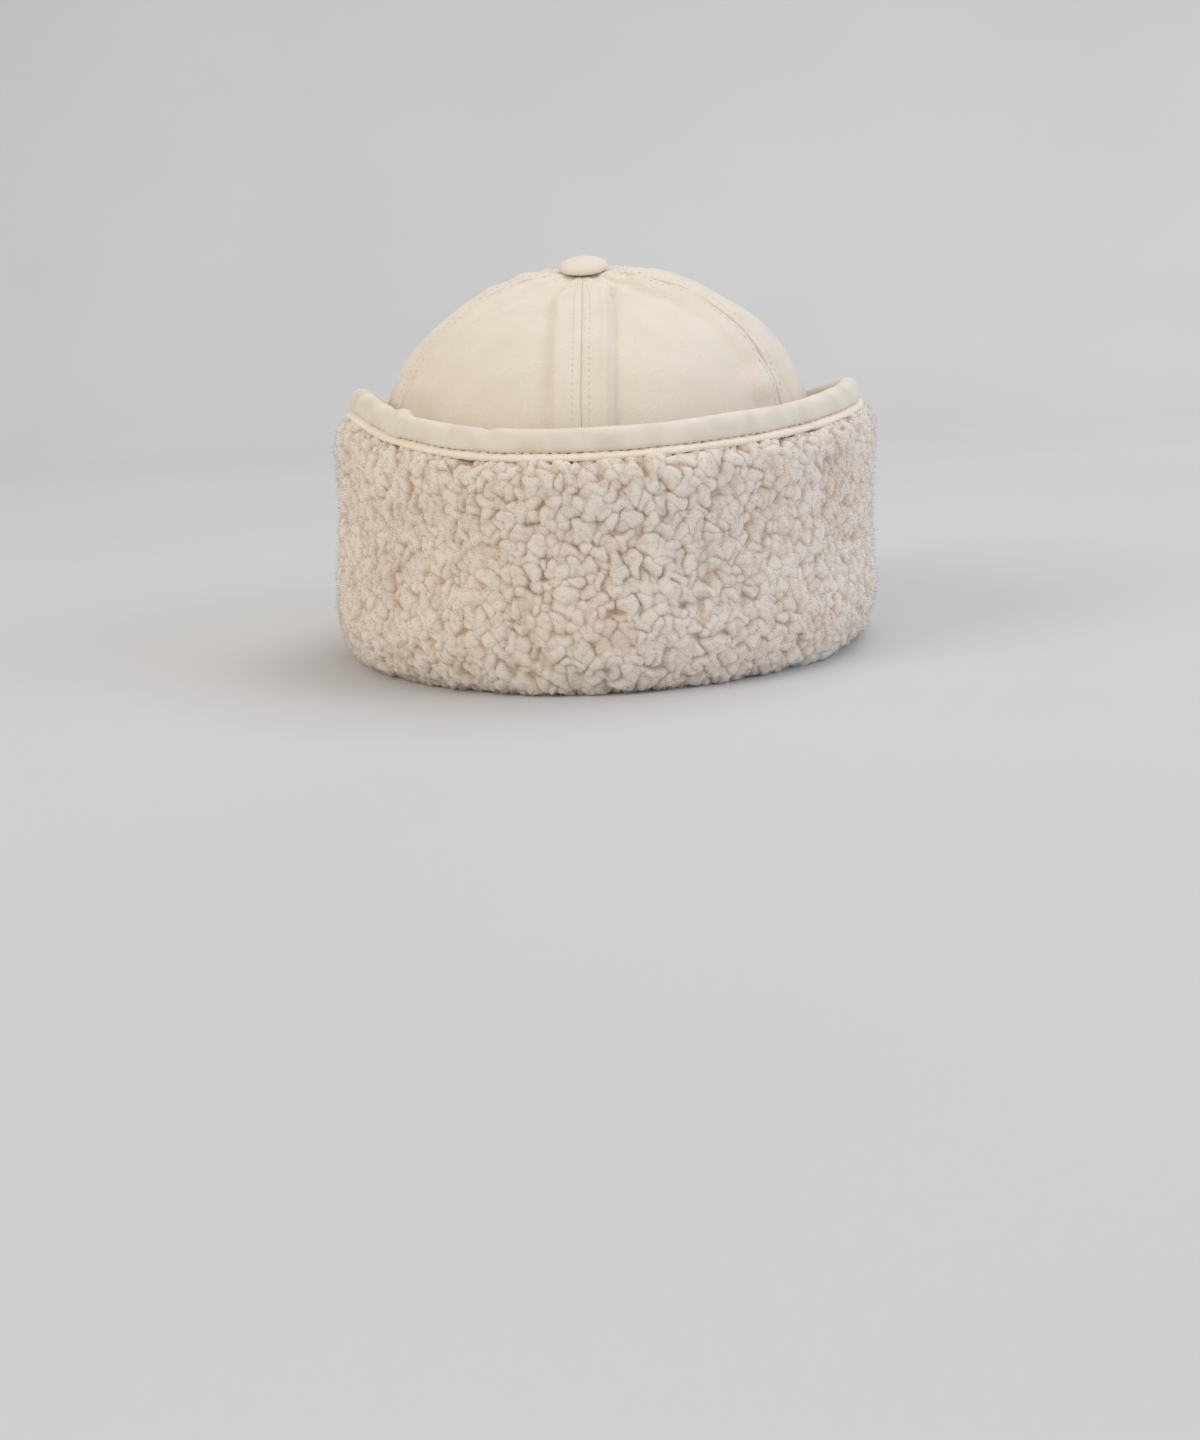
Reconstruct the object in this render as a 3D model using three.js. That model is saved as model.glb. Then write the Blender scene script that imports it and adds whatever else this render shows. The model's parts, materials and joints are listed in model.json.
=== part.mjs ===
// Earflap cap with its flap turned up all round: a six-panel cloth crown with a covered button on top,
// and a deep flap of cloth lined with curly fleece, folded up outside the crown and bound along its edge.
// The fleece faces out while the flap is up, and it rolls under the fold to the inside of the rim. It is
// four lengths, whose seams the pile hides.
// Millimetres, +Z up. The cap's front faces -Y and the wearer's left is +X.
// The origin is on the ground, in the middle of the rim.
import * as THREE from "three";
import { LoftGeometry } from "three/addons/geometries/LoftGeometry.js";

// Driving dimensions
const HEAD_WIDTH = 166; // inside of the crown at the rim
const HEAD_LENGTH = 200;
const CROWN_CLOTH = 2; // wall of the crown
const FLAP_CLOTH = 1.5; // wall of the flap's cloth side
const FLAP_FRONT_HEIGHT = 90; // bound edge above the ground at the front
const FLAP_FRONT_LEAN = 1;
const CLEARANCE = 0.35; // between pieces that are sewn or laid together
const SEAM_GAP = 0.3; // between two crown panels, or two lengths of fleece
const BUTTON_RADIUS = 9.5;
const BUTTON_HEIGHT = 4;
const BUTTON_BRIM = 0.9; // thickness of the button's edge
const BUTTON_ABOVE_SEAMS = 1.2; // its underside, above the crown's hole
const SHANK_RADIUS = 1.8;
const SHANK_LENGTH = 4;

const RIM_SIDE = HEAD_WIDTH / 2 + CROWN_CLOTH; // outside of the crown at the rim, from the middle
const RIM_END = HEAD_LENGTH / 2 + CROWN_CLOTH;

// Steps of the faceted surfaces
const TURN_STEPS = 80; // a multiple of 8
const PANEL_ROWS = 13;
const ARC_STEPS = 12;
const BUTTON_SIDES = 20;
const BUTTON_RINGS = 5;

// The crown from its rim to the hole under the button, one row for each section across it:
// how far it reaches to the side, the front and the back, and how high it stands there.
// sway is how far the section is pulled over to the wearer's right.
const CROWN_SECTIONS = [
  { side: RIM_SIDE, front: RIM_END, back: RIM_END, sideUp: 11, frontUp: 11, backUp: 11, sway: 0 },
  { side: 86, front: 103, back: 104.5, sideUp: 40, frontUp: 40, backUp: 40, sway: 0 },
  { side: 85, front: 101, back: 105, sideUp: 70, frontUp: 69, backUp: 70, sway: 0.6 },
  { side: 80.3, front: 95, back: 101.5, sideUp: 96, frontUp: 94.5, backUp: 97, sway: 1.1 },
  { side: 69, front: 80.5, back: 91, sideUp: 116.4, frontUp: 113, backUp: 118.5, sway: 1 },
  { side: 50.5, front: 60, back: 70, sideUp: 131.4, frontUp: 125.8, backUp: 134.5, sway: 1.3 },
  { side: 29, front: 38, back: 38, sideUp: 140.4, frontUp: 133.7, backUp: 143.4, sway: 2.2 },
  { side: 13, front: 22.5, back: 7, sideUp: 142.4, frontUp: 138.3, backUp: 144.6, sway: 2.8 },
  { side: 3.2, front: 13.2, back: -6.8, sideUp: 142.3, frontUp: 141.2, backUp: 143.2, sway: 3 },
];

// Seams of the crown, in degrees round from the front towards the wearer's left, and the panel after each.
const CROWN_SEAMS = [
  { turn: 0, panel: "crown_panel_front_left" },
  { turn: 58, panel: "crown_panel_side_left" },
  { turn: 120, panel: "crown_panel_back_left" },
  { turn: 180, panel: "crown_panel_back_right" },
  { turn: 240, panel: "crown_panel_side_right" },
  { turn: 302, panel: "crown_panel_front_right" },
];

// Cloth beside a seam, where the allowances are pressed open under it: a sunk seam line,
// a flat ridge over the allowance and a soft valley past it.
const SEAM_RELIEF = [
  { away: 0, rise: 0.5 },
  { away: 2.5, rise: 1.3 },
  { away: 9.5, rise: 1.3 },
  { away: 14, rise: -0.7 },
  { away: 24, rise: 0 },
];
const FULL_RELIEF_WIDTH = 58; // a panel narrower than this has its relief closed up

// The flap's bound edge, in equal turns of so many degrees from the front towards the wearer's left: its
// height, and how far it leans out past the flap's foot. It is highest over the ears, and pulled to the left.
const FLAP_EDGE = [
  { turn: 0, height: FLAP_FRONT_HEIGHT, lean: FLAP_FRONT_LEAN },
  { turn: 22.5, height: 91.2, lean: 1.5 },
  { turn: 45, height: 93.5, lean: 2 },
  { turn: 67.5, height: 96.8, lean: 2.7 },
  { turn: 90, height: 98.5, lean: 3 },
  { turn: 112.5, height: 93.5, lean: 2.6 },
  { turn: 135, height: 86, lean: 2 },
  { turn: 157.5, height: 81.5, lean: 1.4 },
  { turn: 180, height: 80, lean: 1 },
  { turn: 202.5, height: 81.5, lean: 0.4 },
  { turn: 225, height: 86, lean: -0.5 },
  { turn: 247.5, height: 92, lean: -2 },
  { turn: 270, height: 100.5, lean: -3 },
  { turn: 292.5, height: 102.8, lean: -2.2 },
  { turn: 315, height: 96.2, lean: -1 },
  { turn: 337.5, height: 91.2, lean: 0.2 },
];

// Where the flap's cloth starts: outside the rim of the crown, and up from the ground.
const FLAP_FOOT = { out: 8, up: 11 };
const FLEECE_LEAN = 0.9; // the fleece stops short of the edge, so its top has this share of the lean

// Section of the fleece, all the way round. out is from the crown's outside at the rim, up is from the
// ground, lift is its share of the edge's extra height and lean past the front's, and curl is how far its
// locks stand in and out.
const FLEECE_SECTION = [
  { at: "channel_inside", out: -2.8, up: 9, lift: 0, curl: 0 },
  { at: "facing_back", out: -2.8, up: 28, lift: 0, curl: 0 },
  { at: "facing_top", out: -6.5, up: 31, lift: 0, curl: 0.5 },
  { at: "facing_upper", out: -10.6, up: 26, lift: 0, curl: 1 },
  { at: "facing_lower", out: -11.4, up: 16, lift: 0, curl: 1 },
  { at: "roll_inside", out: -9, up: 6.5, lift: 0, curl: 1 },
  { at: "roll_under_inside", out: -4, up: 1.2, lift: 0, curl: 0.5 },
  { at: "foot_inside", out: 0, up: 0, lift: 0, curl: 0 },
  { at: "foot_outside", out: 8.5, up: 0, lift: 0, curl: 0 },
  { at: "roll_under_outside", out: 14, up: 3.2, lift: 0, curl: 0.8 },
  { at: "roll_outside", out: 18.2, up: 11, lift: 0, curl: 1.3 },
  { at: "pile_1", out: 19.8, up: 20.5, lift: 0, curl: 1.4 },
  { at: "pile_2", out: 19.2, up: 31, lift: 0.2, curl: 1.4 },
  { at: "pile_3", out: 18.2, up: 42, lift: 0.4, curl: 1.4 },
  { at: "pile_4", out: 17.6, up: 53, lift: 0.55, curl: 1.4 },
  { at: "pile_5", out: 18.2, up: 63.5, lift: 0.7, curl: 1.4 },
  { at: "pile_6", out: 18.1, up: 73, lift: 0.85, curl: 1.2 },
  { at: "pile_top", out: 15.6, up: 79, lift: 1, curl: 0.4 },
  { at: "backing_top", out: 10.2, up: 79.4, lift: 1, curl: 0 },
  { at: "backing_middle", out: 9.7, up: 43, lift: 0.45, curl: 0 },
  { at: "backing_foot", out: 9.2, up: 11.5, lift: 0, curl: 0 },
  { at: "channel_outside", out: 7, up: 9, lift: 0, curl: 0 },
];
const LOCK_EVENNESS = 0.5; // share of the locks' height that alternates, the rest being scattered

// Seams of the fleece, in degrees round as the crown's are, and the length of fleece after each.
const FLEECE_SEAMS = [
  { turn: 45, length: "flap_fleece_left" },
  { turn: 135, length: "flap_fleece_back" },
  { turn: 225, length: "flap_fleece_right" },
  { turn: 315, length: "flap_fleece_front" },
];

// Section of the binding, a tape rolled over the flap's edge and stitched down near its lower fold.
// out is from the middle of the flap's cloth and up is from the edge.
const BINDING_SECTION = [
  { at: "lip_under", out: 1.15, up: -9.9 },
  { at: "lip", out: 2.9, up: -9.1 },
  { at: "stitch_groove", out: 1.9, up: -7.7 },
  { at: "roll_lower", out: 3.6, up: -6.2 },
  { at: "roll_upper", out: 3.8, up: -3 },
  { at: "top_outside", out: 1.7, up: 0 },
  { at: "top_inside", out: -1.7, up: 0 },
  { at: "back_upper", out: -3.2, up: -3.2 },
  { at: "back_lower", out: -2.9, up: -6.8 },
  { at: "back_under", out: -1.15, up: -8 },
  { at: "channel_back", out: -1.15, up: -2.8 },
  { at: "channel_front", out: 1.15, up: -2.8 },
];
const EDGE_IN_BINDING = 3.2; // the cloth stops this far below the bound edge

// A point beside the rim: out along the rim ellipse's normal at this turn, and up from the ground.
function besideRim(turn, out, up) {
  const across = new THREE.Vector2(RIM_END * Math.sin(turn), -RIM_SIDE * Math.cos(turn));
  across.normalize();
  return new THREE.Vector3(
    RIM_SIDE * Math.sin(turn) + across.x * out,
    -RIM_END * Math.cos(turn) + across.y * out,
    up,
  );
}

// Height and lean of the bound edge at a turn, smooth through the rows of FLAP_EDGE.
function flapEdge(turn) {
  const rows = FLAP_EDGE.length;
  const place = ((turn / (2 * Math.PI)) % 1) * rows;
  const row = Math.floor(place);
  const w = place - row;
  const smooth = (column) => {
    const [before, here, next, after] = [-1, 0, 1, 2].map((k) => FLAP_EDGE[(row + k + rows) % rows][column]);
    const rise = (next - before) / 2;
    const fall = (after - here) / 2;
    const square = 3 * (next - here) - 2 * rise - fall;
    const cube = 2 * (here - next) + rise + fall;
    return here + w * (rise + w * (square + w * cube));
  };
  return { height: smooth("height"), lean: smooth("lean") };
}

// How far outside the rim the middle of the flap's cloth stands at a height.
function flapOut(up, edge) {
  return FLAP_FOOT.out + (edge.lean * (up - FLAP_FOOT.up)) / (edge.height - FLAP_FOOT.up);
}

// A settled random number from 0 to 1 for a step and a row.
function scatter(step, row) {
  const wave = Math.sin(step * 12.9898 + row * 78.233) * 43758.5453;
  return wave - Math.floor(wave);
}

// In and out of a lock of the fleece, from -1 to 1: every other step stands out, staggered from row to row.
// Opposite sides of the cap match, so that it stays centred.
function lock(turnStep, row) {
  const step = turnStep % (TURN_STEPS / 2);
  const standing = (step + row) % 2 === 0 ? 1 : -1;
  return LOCK_EVENNESS * standing + (1 - LOCK_EVENNESS) * (2 * scatter(step, row) - 1);
}

// A ring lofted round the cap through the section that sectionAt gives at each turn. It runs from the front
// towards the wearer's right, so that the tables' sections, from the inside down and out, face outwards.
function ring(sectionAt) {
  const sections = [];
  for (let step = TURN_STEPS; step >= 0; step--) {
    sections.push(sectionAt((2 * Math.PI * (step % TURN_STEPS)) / TURN_STEPS));
  }
  return new LoftGeometry(sections);
}

// The fleece's section at a step round the cap, trimmed back from it by so much along the rim.
function fleeceSection(step, trim) {
  const turnStep = step % TURN_STEPS;
  const turn = (2 * Math.PI * turnStep) / TURN_STEPS + trim / RIM_SIDE;
  const edge = flapEdge(turn);
  const extra = edge.height - FLAP_FRONT_HEIGHT;
  const lean = FLEECE_LEAN * (edge.lean - FLAP_FRONT_LEAN);
  return FLEECE_SECTION.map(({ out, up, lift, curl }, row) =>
    besideRim(turn, out + lift * lean + curl * lock(turnStep, row), up + lift * extra),
  );
}

// A length of fleece from one seam to the next, lofted the same way round as a ring.
function fleeceGeometry(from, to) {
  const first = Math.round((from / 360) * TURN_STEPS);
  const last = Math.round((to / 360) * TURN_STEPS);
  const sections = [fleeceSection(last, -SEAM_GAP / 2)];
  for (let step = last - 1; step > first; step--) {
    sections.push(fleeceSection(step, 0));
  }
  sections.push(fleeceSection(first, SEAM_GAP / 2));
  return new LoftGeometry(sections, { capStart: true, capEnd: true });
}

function flapClothGeometry() {
  return ring((turn) => {
    const edge = flapEdge(turn);
    const top = edge.height - EDGE_IN_BINDING;
    const middle = (FLAP_FOOT.up + top) / 2;
    const face = (side, up) => besideRim(turn, flapOut(up, edge) + (side * FLAP_CLOTH) / 2, up);
    const outside = [FLAP_FOOT.up, middle, top].map((up) => face(1, up));
    const inside = [top, middle, FLAP_FOOT.up].map((up) => face(-1, up));
    return [...outside, ...inside];
  });
}

function bindingGeometry() {
  return ring((turn) => {
    const edge = flapEdge(turn);
    return BINDING_SECTION.map(({ out, up }) => {
      const height = edge.height + up;
      return besideRim(turn, flapOut(height, edge) + out, height);
    });
  });
}

// The crown's front, side and back profiles, which its sections are drawn through.
const profile = (point) => new THREE.CatmullRomCurve3(CROWN_SECTIONS.map(point));
const crownFront = profile((row) => new THREE.Vector3(-row.sway, -row.front, row.frontUp));
const crownSide = profile((row) => new THREE.Vector3(row.side, 0, row.sideUp));
const crownBack = profile((row) => new THREE.Vector3(-row.sway, row.back, row.backUp));

// The smooth outside of the crown at a turn, rise being 0 at the rim and 1 at the hole under the button.
function crownPoint(turn, rise) {
  const front = crownFront.getPoint(rise);
  const side = crownSide.getPoint(rise);
  const back = crownBack.getPoint(rise);
  const forward = Math.cos(turn);
  const end = forward > 0 ? front : back;
  return new THREE.Vector3(
    front.x + side.x * Math.sin(turn),
    (front.y + back.y) / 2 - ((back.y - front.y) / 2) * forward,
    side.z + (end.z - side.z) * forward * forward,
  );
}

function crownNormal(turn, rise) {
  const small = 1e-3;
  const round = crownPoint(turn + small, rise).sub(crownPoint(turn - small, rise));
  const upward = crownPoint(turn, Math.min(rise + small, 1)).sub(crownPoint(turn, Math.max(rise - small, 0)));
  return round.cross(upward).normalize();
}

// Length of the crown's section between two turns.
function crownArc(from, to, rise) {
  const step = (to - from) / ARC_STEPS;
  let length = 0;
  for (let k = 0; k < ARC_STEPS; k++) {
    length += crownPoint(from + k * step, rise).distanceTo(crownPoint(from + (k + 1) * step, rise));
  }
  return length;
}

// Where the columns of a panel stand, from seam to seam, with the seam relief of each. A narrow stretch
// near the button closes them up, and its relief sinks with them.
function panelColumns(width) {
  const close = Math.min(1, width / FULL_RELIEF_WIDTH);
  const half = SEAM_RELIEF.map(({ away, rise }) => ({
    along: away * close + SEAM_GAP / 2,
    rise: rise * close,
  }));
  half.push({ along: (half.at(-1).along + width / 2) / 2, rise: 0 });
  const middle = { along: width / 2, rise: 0 };
  const mirrored = half.map(({ along, rise }) => ({ along: width - along, rise })).reverse();
  return [...half, middle, ...mirrored];
}

function panelGeometry(from, to) {
  const sections = [];
  for (let row = 0; row <= PANEL_ROWS; row++) {
    const rise = row / PANEL_ROWS;
    const width = crownArc(from, to, rise);
    const outside = [];
    const inside = [];
    for (const { along, rise: relief } of panelColumns(width)) {
      const turn = from + ((to - from) * along) / width;
      const point = crownPoint(turn, rise);
      const normal = crownNormal(turn, rise);
      outside.push(point.clone().addScaledVector(normal, relief));
      inside.unshift(point.clone().addScaledVector(normal, -CROWN_CLOTH));
    }
    sections.push([...outside, ...inside]);
  }
  return new LoftGeometry(sections, { capStart: true, capEnd: true });
}

// A covered button: a low dome with a hollowed underside, on a shank that goes down between the panels.
function buttonGeometry() {
  const domeHeight = BUTTON_HEIGHT - BUTTON_BRIM;
  const dome = new THREE.EllipseCurve(0, BUTTON_BRIM, BUTTON_RADIUS, domeHeight, 0, Math.PI / 2);
  const outline = [
    new THREE.Vector2(0, -SHANK_LENGTH),
    new THREE.Vector2(SHANK_RADIUS, -SHANK_LENGTH),
    new THREE.Vector2(SHANK_RADIUS, CLEARANCE),
    new THREE.Vector2(BUTTON_RADIUS - BUTTON_BRIM, 0),
    ...dome.getPoints(BUTTON_RINGS - 1),
  ];
  outline.at(-1).x = 0;
  return new THREE.LatheGeometry(outline, BUTTON_SIDES).rotateX(Math.PI / 2);
}

// The button lies along the slope of the crown, over the hole between the panels.
function placeButton(button) {
  const front = crownPoint(0, 1);
  const back = crownPoint(Math.PI, 1);
  button.position.lerpVectors(front, back, 0.5);
  button.rotation.x = Math.atan2(back.z - front.z, back.y - front.y);
  button.translateZ(BUTTON_ABOVE_SEAMS);
}

const COTTON = { color: 0xe6d9c5, roughness: 0.9, metalness: 0 };
const FLEECE = { color: 0xd6c5b6, roughness: 1, metalness: 0 };
const TAPE = { color: 0xe0d6c0, roughness: 0.6, metalness: 0 };

function piece(name, geometry, finish) {
  const mesh = new THREE.Mesh(geometry, new THREE.MeshStandardMaterial(finish));
  mesh.name = name;
  return mesh;
}

const { degToRad } = THREE.MathUtils;

// The turn of the seam after one in a table, which may be past a full turn.
const nextSeam = (seams, k) => seams[k + 1]?.turn ?? seams[0].turn + 360;

const crown = new THREE.Group();
CROWN_SEAMS.forEach(({ turn, panel }, k) => {
  crown.add(piece(panel, panelGeometry(degToRad(turn), degToRad(nextSeam(CROWN_SEAMS, k))), COTTON));
});
const button = piece("crown_button", buttonGeometry(), COTTON);
placeButton(button);
crown.add(button);

const flap = new THREE.Group();
flap.add(piece("flap_cloth", flapClothGeometry(), COTTON));
FLEECE_SEAMS.forEach(({ turn, length }, k) => {
  flap.add(piece(length, fleeceGeometry(turn, nextSeam(FLEECE_SEAMS, k)), FLEECE));
});
flap.add(piece("edge_binding", bindingGeometry(), TAPE));

const cap = new THREE.Group();
cap.add(crown, flap);

export default cap;
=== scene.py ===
"""Dresses the earflap cap: cloth crown, covered button, turned-up fleece flap and its bound edge.

The cap's front faces -Y and the wearer's left is +X. Sizes are in millimetres and are turned to metres where
a mesh is made. A turn is an angle round the cap from its front towards the wearer's left.
"""

from __future__ import annotations

import json
import logging
import math
from dataclasses import dataclass, field
from enum import Enum
from typing import NamedTuple

import bpy
import numpy as np
from mathutils import Matrix, Vector

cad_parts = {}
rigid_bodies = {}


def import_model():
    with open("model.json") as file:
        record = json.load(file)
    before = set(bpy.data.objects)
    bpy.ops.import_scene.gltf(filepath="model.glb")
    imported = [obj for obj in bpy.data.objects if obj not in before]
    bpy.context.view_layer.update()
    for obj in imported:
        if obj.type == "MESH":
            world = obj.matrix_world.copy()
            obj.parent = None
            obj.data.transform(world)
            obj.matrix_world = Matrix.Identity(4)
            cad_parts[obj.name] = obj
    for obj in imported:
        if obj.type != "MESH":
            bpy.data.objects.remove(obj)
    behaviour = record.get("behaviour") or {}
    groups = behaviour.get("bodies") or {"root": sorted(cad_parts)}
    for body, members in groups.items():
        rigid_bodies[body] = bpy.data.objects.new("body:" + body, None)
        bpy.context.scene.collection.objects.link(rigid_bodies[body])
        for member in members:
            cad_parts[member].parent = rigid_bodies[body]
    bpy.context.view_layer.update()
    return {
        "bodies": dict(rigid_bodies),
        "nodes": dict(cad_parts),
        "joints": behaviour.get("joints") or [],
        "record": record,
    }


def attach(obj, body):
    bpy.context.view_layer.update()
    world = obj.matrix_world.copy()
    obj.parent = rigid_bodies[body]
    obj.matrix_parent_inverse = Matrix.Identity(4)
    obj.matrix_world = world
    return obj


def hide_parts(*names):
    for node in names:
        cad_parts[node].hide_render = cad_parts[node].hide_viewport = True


LOG = logging.getLogger("earflap_cap")
MM = 0.001
BODY = "root"
FLEECE_NODES = tuple(f"flap_fleece_{side}" for side in ("front", "left", "back", "right"))
SEED = 20
IMAGE_WIDTH = 1200
IMAGE_HEIGHT = 1440
# bands that a wave texture draws in one unit at a scale of 1, straight and diagonal
STRAIGHT_BANDS = 20 / (2 * math.pi)
DIAGONAL_BANDS = 10 * math.sqrt(2) / (2 * math.pi)

Array = np.ndarray
Material = bpy.types.Material
Node = bpy.types.Node
Piece = bpy.types.Object
Socket = bpy.types.NodeSocket
Tree = bpy.types.NodeTree


class Slot(Enum):
    """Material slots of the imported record."""

    COTTON = "cotton"
    FLEECE = "fleece"
    TAPE = "binding_tape"


def linear(hex_colour: str) -> tuple[float, float, float, float]:
    """Turns an sRGB hex colour to linear light.

    Args:
        hex_colour: six hex digits, such as "e6d9c5".

    Returns:
        Linear red, green and blue, with an alpha of 1.
    """
    parts = [int(hex_colour[k : k + 2], 16) / 255 for k in (0, 2, 4)]
    red, green, blue = (c / 12.92 if c <= 0.04045 else ((c + 0.055) / 1.055) ** 2.4 for c in parts)
    return red, green, blue, 1.0


def add_node(
    tree: Tree,
    kind: str,
    inputs: dict | None = None,
    stops: dict[float, str] | None = None,
    **settings: object,
) -> Node:
    """Adds a node with its settings, values and links.

    Args:
        tree: the node tree it goes into.
        kind: Blender's name for the node.
        inputs: a value, or the output socket to link, for each input's name or number.
        stops: a hex colour for each place from 0 to 1, where the node has a colour ramp.
        settings: the node's own properties.

    Returns:
        The new node.
    """
    node = tree.nodes.new(kind)
    for name, value in settings.items():
        setattr(node, name, value)
    for name, value in (inputs or {}).items():
        if isinstance(value, Socket):
            tree.links.new(value, node.inputs[name])
        else:
            node.inputs[name].default_value = value
    if stops:
        elements = node.color_ramp.elements
        while len(elements) < len(stops):
            elements.new(0.5)
        for element, (place, colour) in zip(elements, sorted(stops.items())):
            element.position = place
            element.color = linear(colour)
    return node


def start_material(name: str, constants: dict[str, float]) -> tuple[Material, Tree, Node]:
    """Makes a material that holds its shader alone.

    Args:
        name: the material's name.
        constants: what is the same all over the surface, by the name of the shader's socket.

    Returns:
        The material, its node tree and its shader, already linked to the output.
    """
    material = bpy.data.materials.new(name)
    material.use_nodes = True
    tree = material.node_tree
    tree.nodes.clear()
    shader = add_node(tree, "ShaderNodeBsdfPrincipled", constants)
    add_node(tree, "ShaderNodeOutputMaterial", {"Surface": shader.outputs["BSDF"]})
    return material, tree, shader


def cloth_place(tree: Tree, first: str, second: str) -> Socket:
    """Reads a point's place on the cloth.

    Args:
        tree: the node tree that reads it.
        first: the attribute that gives the place one way.
        second: the attribute that gives it the other way.

    Returns:
        The place as a vector.
    """
    ways = [add_node(tree, "ShaderNodeAttribute", attribute_name=name) for name in (first, second)]
    inputs = {axis: way.outputs["Fac"] for axis, way in zip("XY", ways)}
    return add_node(tree, "ShaderNodeCombineXYZ", inputs).outputs["Vector"]


@dataclass(frozen=True)
class BrushedCottonTwill:
    """Ivory cotton twill with a brushed face: matt, with a fine nap and a soft bloom at the edges."""

    name: str = "brushed_cotton_twill"
    pale: str = "ebe0cf"
    deep: str = "e3d7c3"
    # the real rib is about 0.5 mm, too fine to show: a diagonal unevenness this coarse stands for it
    rib_mm: float = 9.774
    nap_mm: float = 0.8
    mottle_mm: float = 14.0
    roughness: float = 0.88
    sheen: float = 0.25

    def material(self) -> Material:
        """Makes the material.

        Returns:
            A twill that reads the cloth's own directions from the across and along attributes.
        """
        constants = {
            "Roughness": self.roughness,
            "Sheen Weight": self.sheen,
            "Sheen Roughness": 0.6,
            "Specular IOR Level": 0.25,
        }
        material, tree, shader = start_material(self.name, constants)
        ribs = {
            "Vector": cloth_place(tree, "across", "along"),
            "Scale": 1 / (self.rib_mm * MM * DIAGONAL_BANDS),
            "Distortion": 1.2,
            "Detail": 3.0,
            "Detail Scale": 2.5,
        }
        rib = add_node(tree, "ShaderNodeTexWave", ribs, bands_direction="DIAGONAL")
        where = add_node(tree, "ShaderNodeTexCoord").outputs["Object"]
        blots = {"Vector": where, "Scale": 1 / (self.mottle_mm * MM), "Detail": 6.0}
        mottle = add_node(tree, "ShaderNodeTexNoise", blots)
        hairs = {"Vector": where, "Scale": 1 / (self.nap_mm * MM), "Detail": 3.0}
        nap = add_node(tree, "ShaderNodeTexNoise", hairs)
        tones = {0: mottle.outputs["Fac"], 1: nap.outputs["Fac"], 2: 0.12}
        tone = add_node(tree, "ShaderNodeMath", tones, operation="MULTIPLY_ADD")
        shades = {0.25: self.deep, 0.5: self.pale}
        colour = add_node(tree, "ShaderNodeValToRGB", {"Fac": tone.outputs[0]}, shades)
        heights = {0: rib.outputs["Fac"], 1: 0.5, 2: nap.outputs["Fac"]}
        height = add_node(tree, "ShaderNodeMath", heights, operation="MULTIPLY_ADD")
        relief = {"Height": height.outputs[0], "Strength": 0.28, "Distance": 0.25 * MM}
        bump = add_node(tree, "ShaderNodeBump", relief)
        tree.links.new(colour.outputs["Color"], shader.inputs["Base Color"])
        tree.links.new(bump.outputs["Normal"], shader.inputs["Normal"])
        return material


@dataclass(frozen=True)
class CurlyWoolFleece:
    """Oatmeal curly pile with no gloss: light tips painted with a highlight as if they catch the light, and a
    painted tan shade down between the curls.
    """

    name: str = "curly_wool_fleece"
    # the crevice colour is painted shade for the creases, the tip colour a painted highlight on the crests,
    # the flank between them
    painted_crevice_shade: str = "d4b99e"
    flank: str = "e1d1bf"
    tip: str = "eee2d3"
    stain: str = "d9c2a8"
    patch_mm: float = 26.0
    fibre_mm: float = 1.1  # a lock of fibres, since a real fibre is too fine to show
    roughness: float = 1.0
    sheen: float = 0.4
    cover: float = 1.0  # less than 1 for single fibres, which are finer than they can be drawn

    def material(self) -> Material:
        """Makes the material.

        Returns:
            A pile that reads how high a curl stands from the pile_height attribute, and paints shade where it
            is low and highlight where it is high.
        """
        constants = {
            "Roughness": self.roughness,
            "Sheen Weight": self.sheen,
            "Sheen Roughness": 0.7,
            "Specular IOR Level": 0.1,
            "Alpha": self.cover,
        }
        material, tree, shader = start_material(self.name, constants)
        height = add_node(tree, "ShaderNodeAttribute", attribute_name="pile_height")
        where = add_node(tree, "ShaderNodeTexCoord").outputs["Object"]
        fibres = {
            "Vector": where,
            "Scale": 1 / (self.fibre_mm * MM),
            "Detail": 4.0,
            "Roughness": 0.65,
            "Distortion": 1.5,
        }
        fibre = add_node(tree, "ShaderNodeTexNoise", fibres)
        levels = {0: fibre.outputs["Fac"], 1: 0.3, 2: height.outputs["Fac"]}
        level = add_node(tree, "ShaderNodeMath", levels, operation="MULTIPLY_ADD")
        # colour follows the pile's height: painted shade low in the creases, painted highlight on the tips
        shades = {0.36: self.painted_crevice_shade, 0.64: self.flank, 0.95: self.tip}
        pile = add_node(tree, "ShaderNodeValToRGB", {"Fac": level.outputs[0]}, shades)
        patches = {"Vector": where, "Scale": 1 / (self.patch_mm * MM), "Detail": 2.0}
        patch = add_node(tree, "ShaderNodeTexNoise", patches)
        spans = {"Value": patch.outputs["Fac"], "From Min": 0.52, "From Max": 0.75, "To Max": 0.35}
        share = add_node(tree, "ShaderNodeMapRange", spans)
        colours = {"Factor": share.outputs["Result"], "A": pile.outputs["Color"], "B": linear(self.stain)}
        colour = add_node(tree, "ShaderNodeMix", colours, data_type="RGBA", blend_type="MULTIPLY")
        relief = {"Height": fibre.outputs["Fac"], "Strength": 0.25, "Distance": 0.5 * MM}
        bump = add_node(tree, "ShaderNodeBump", relief)
        tree.links.new(colour.outputs["Result"], shader.inputs["Base Color"])
        tree.links.new(bump.outputs["Normal"], shader.inputs["Normal"])
        return material


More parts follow.
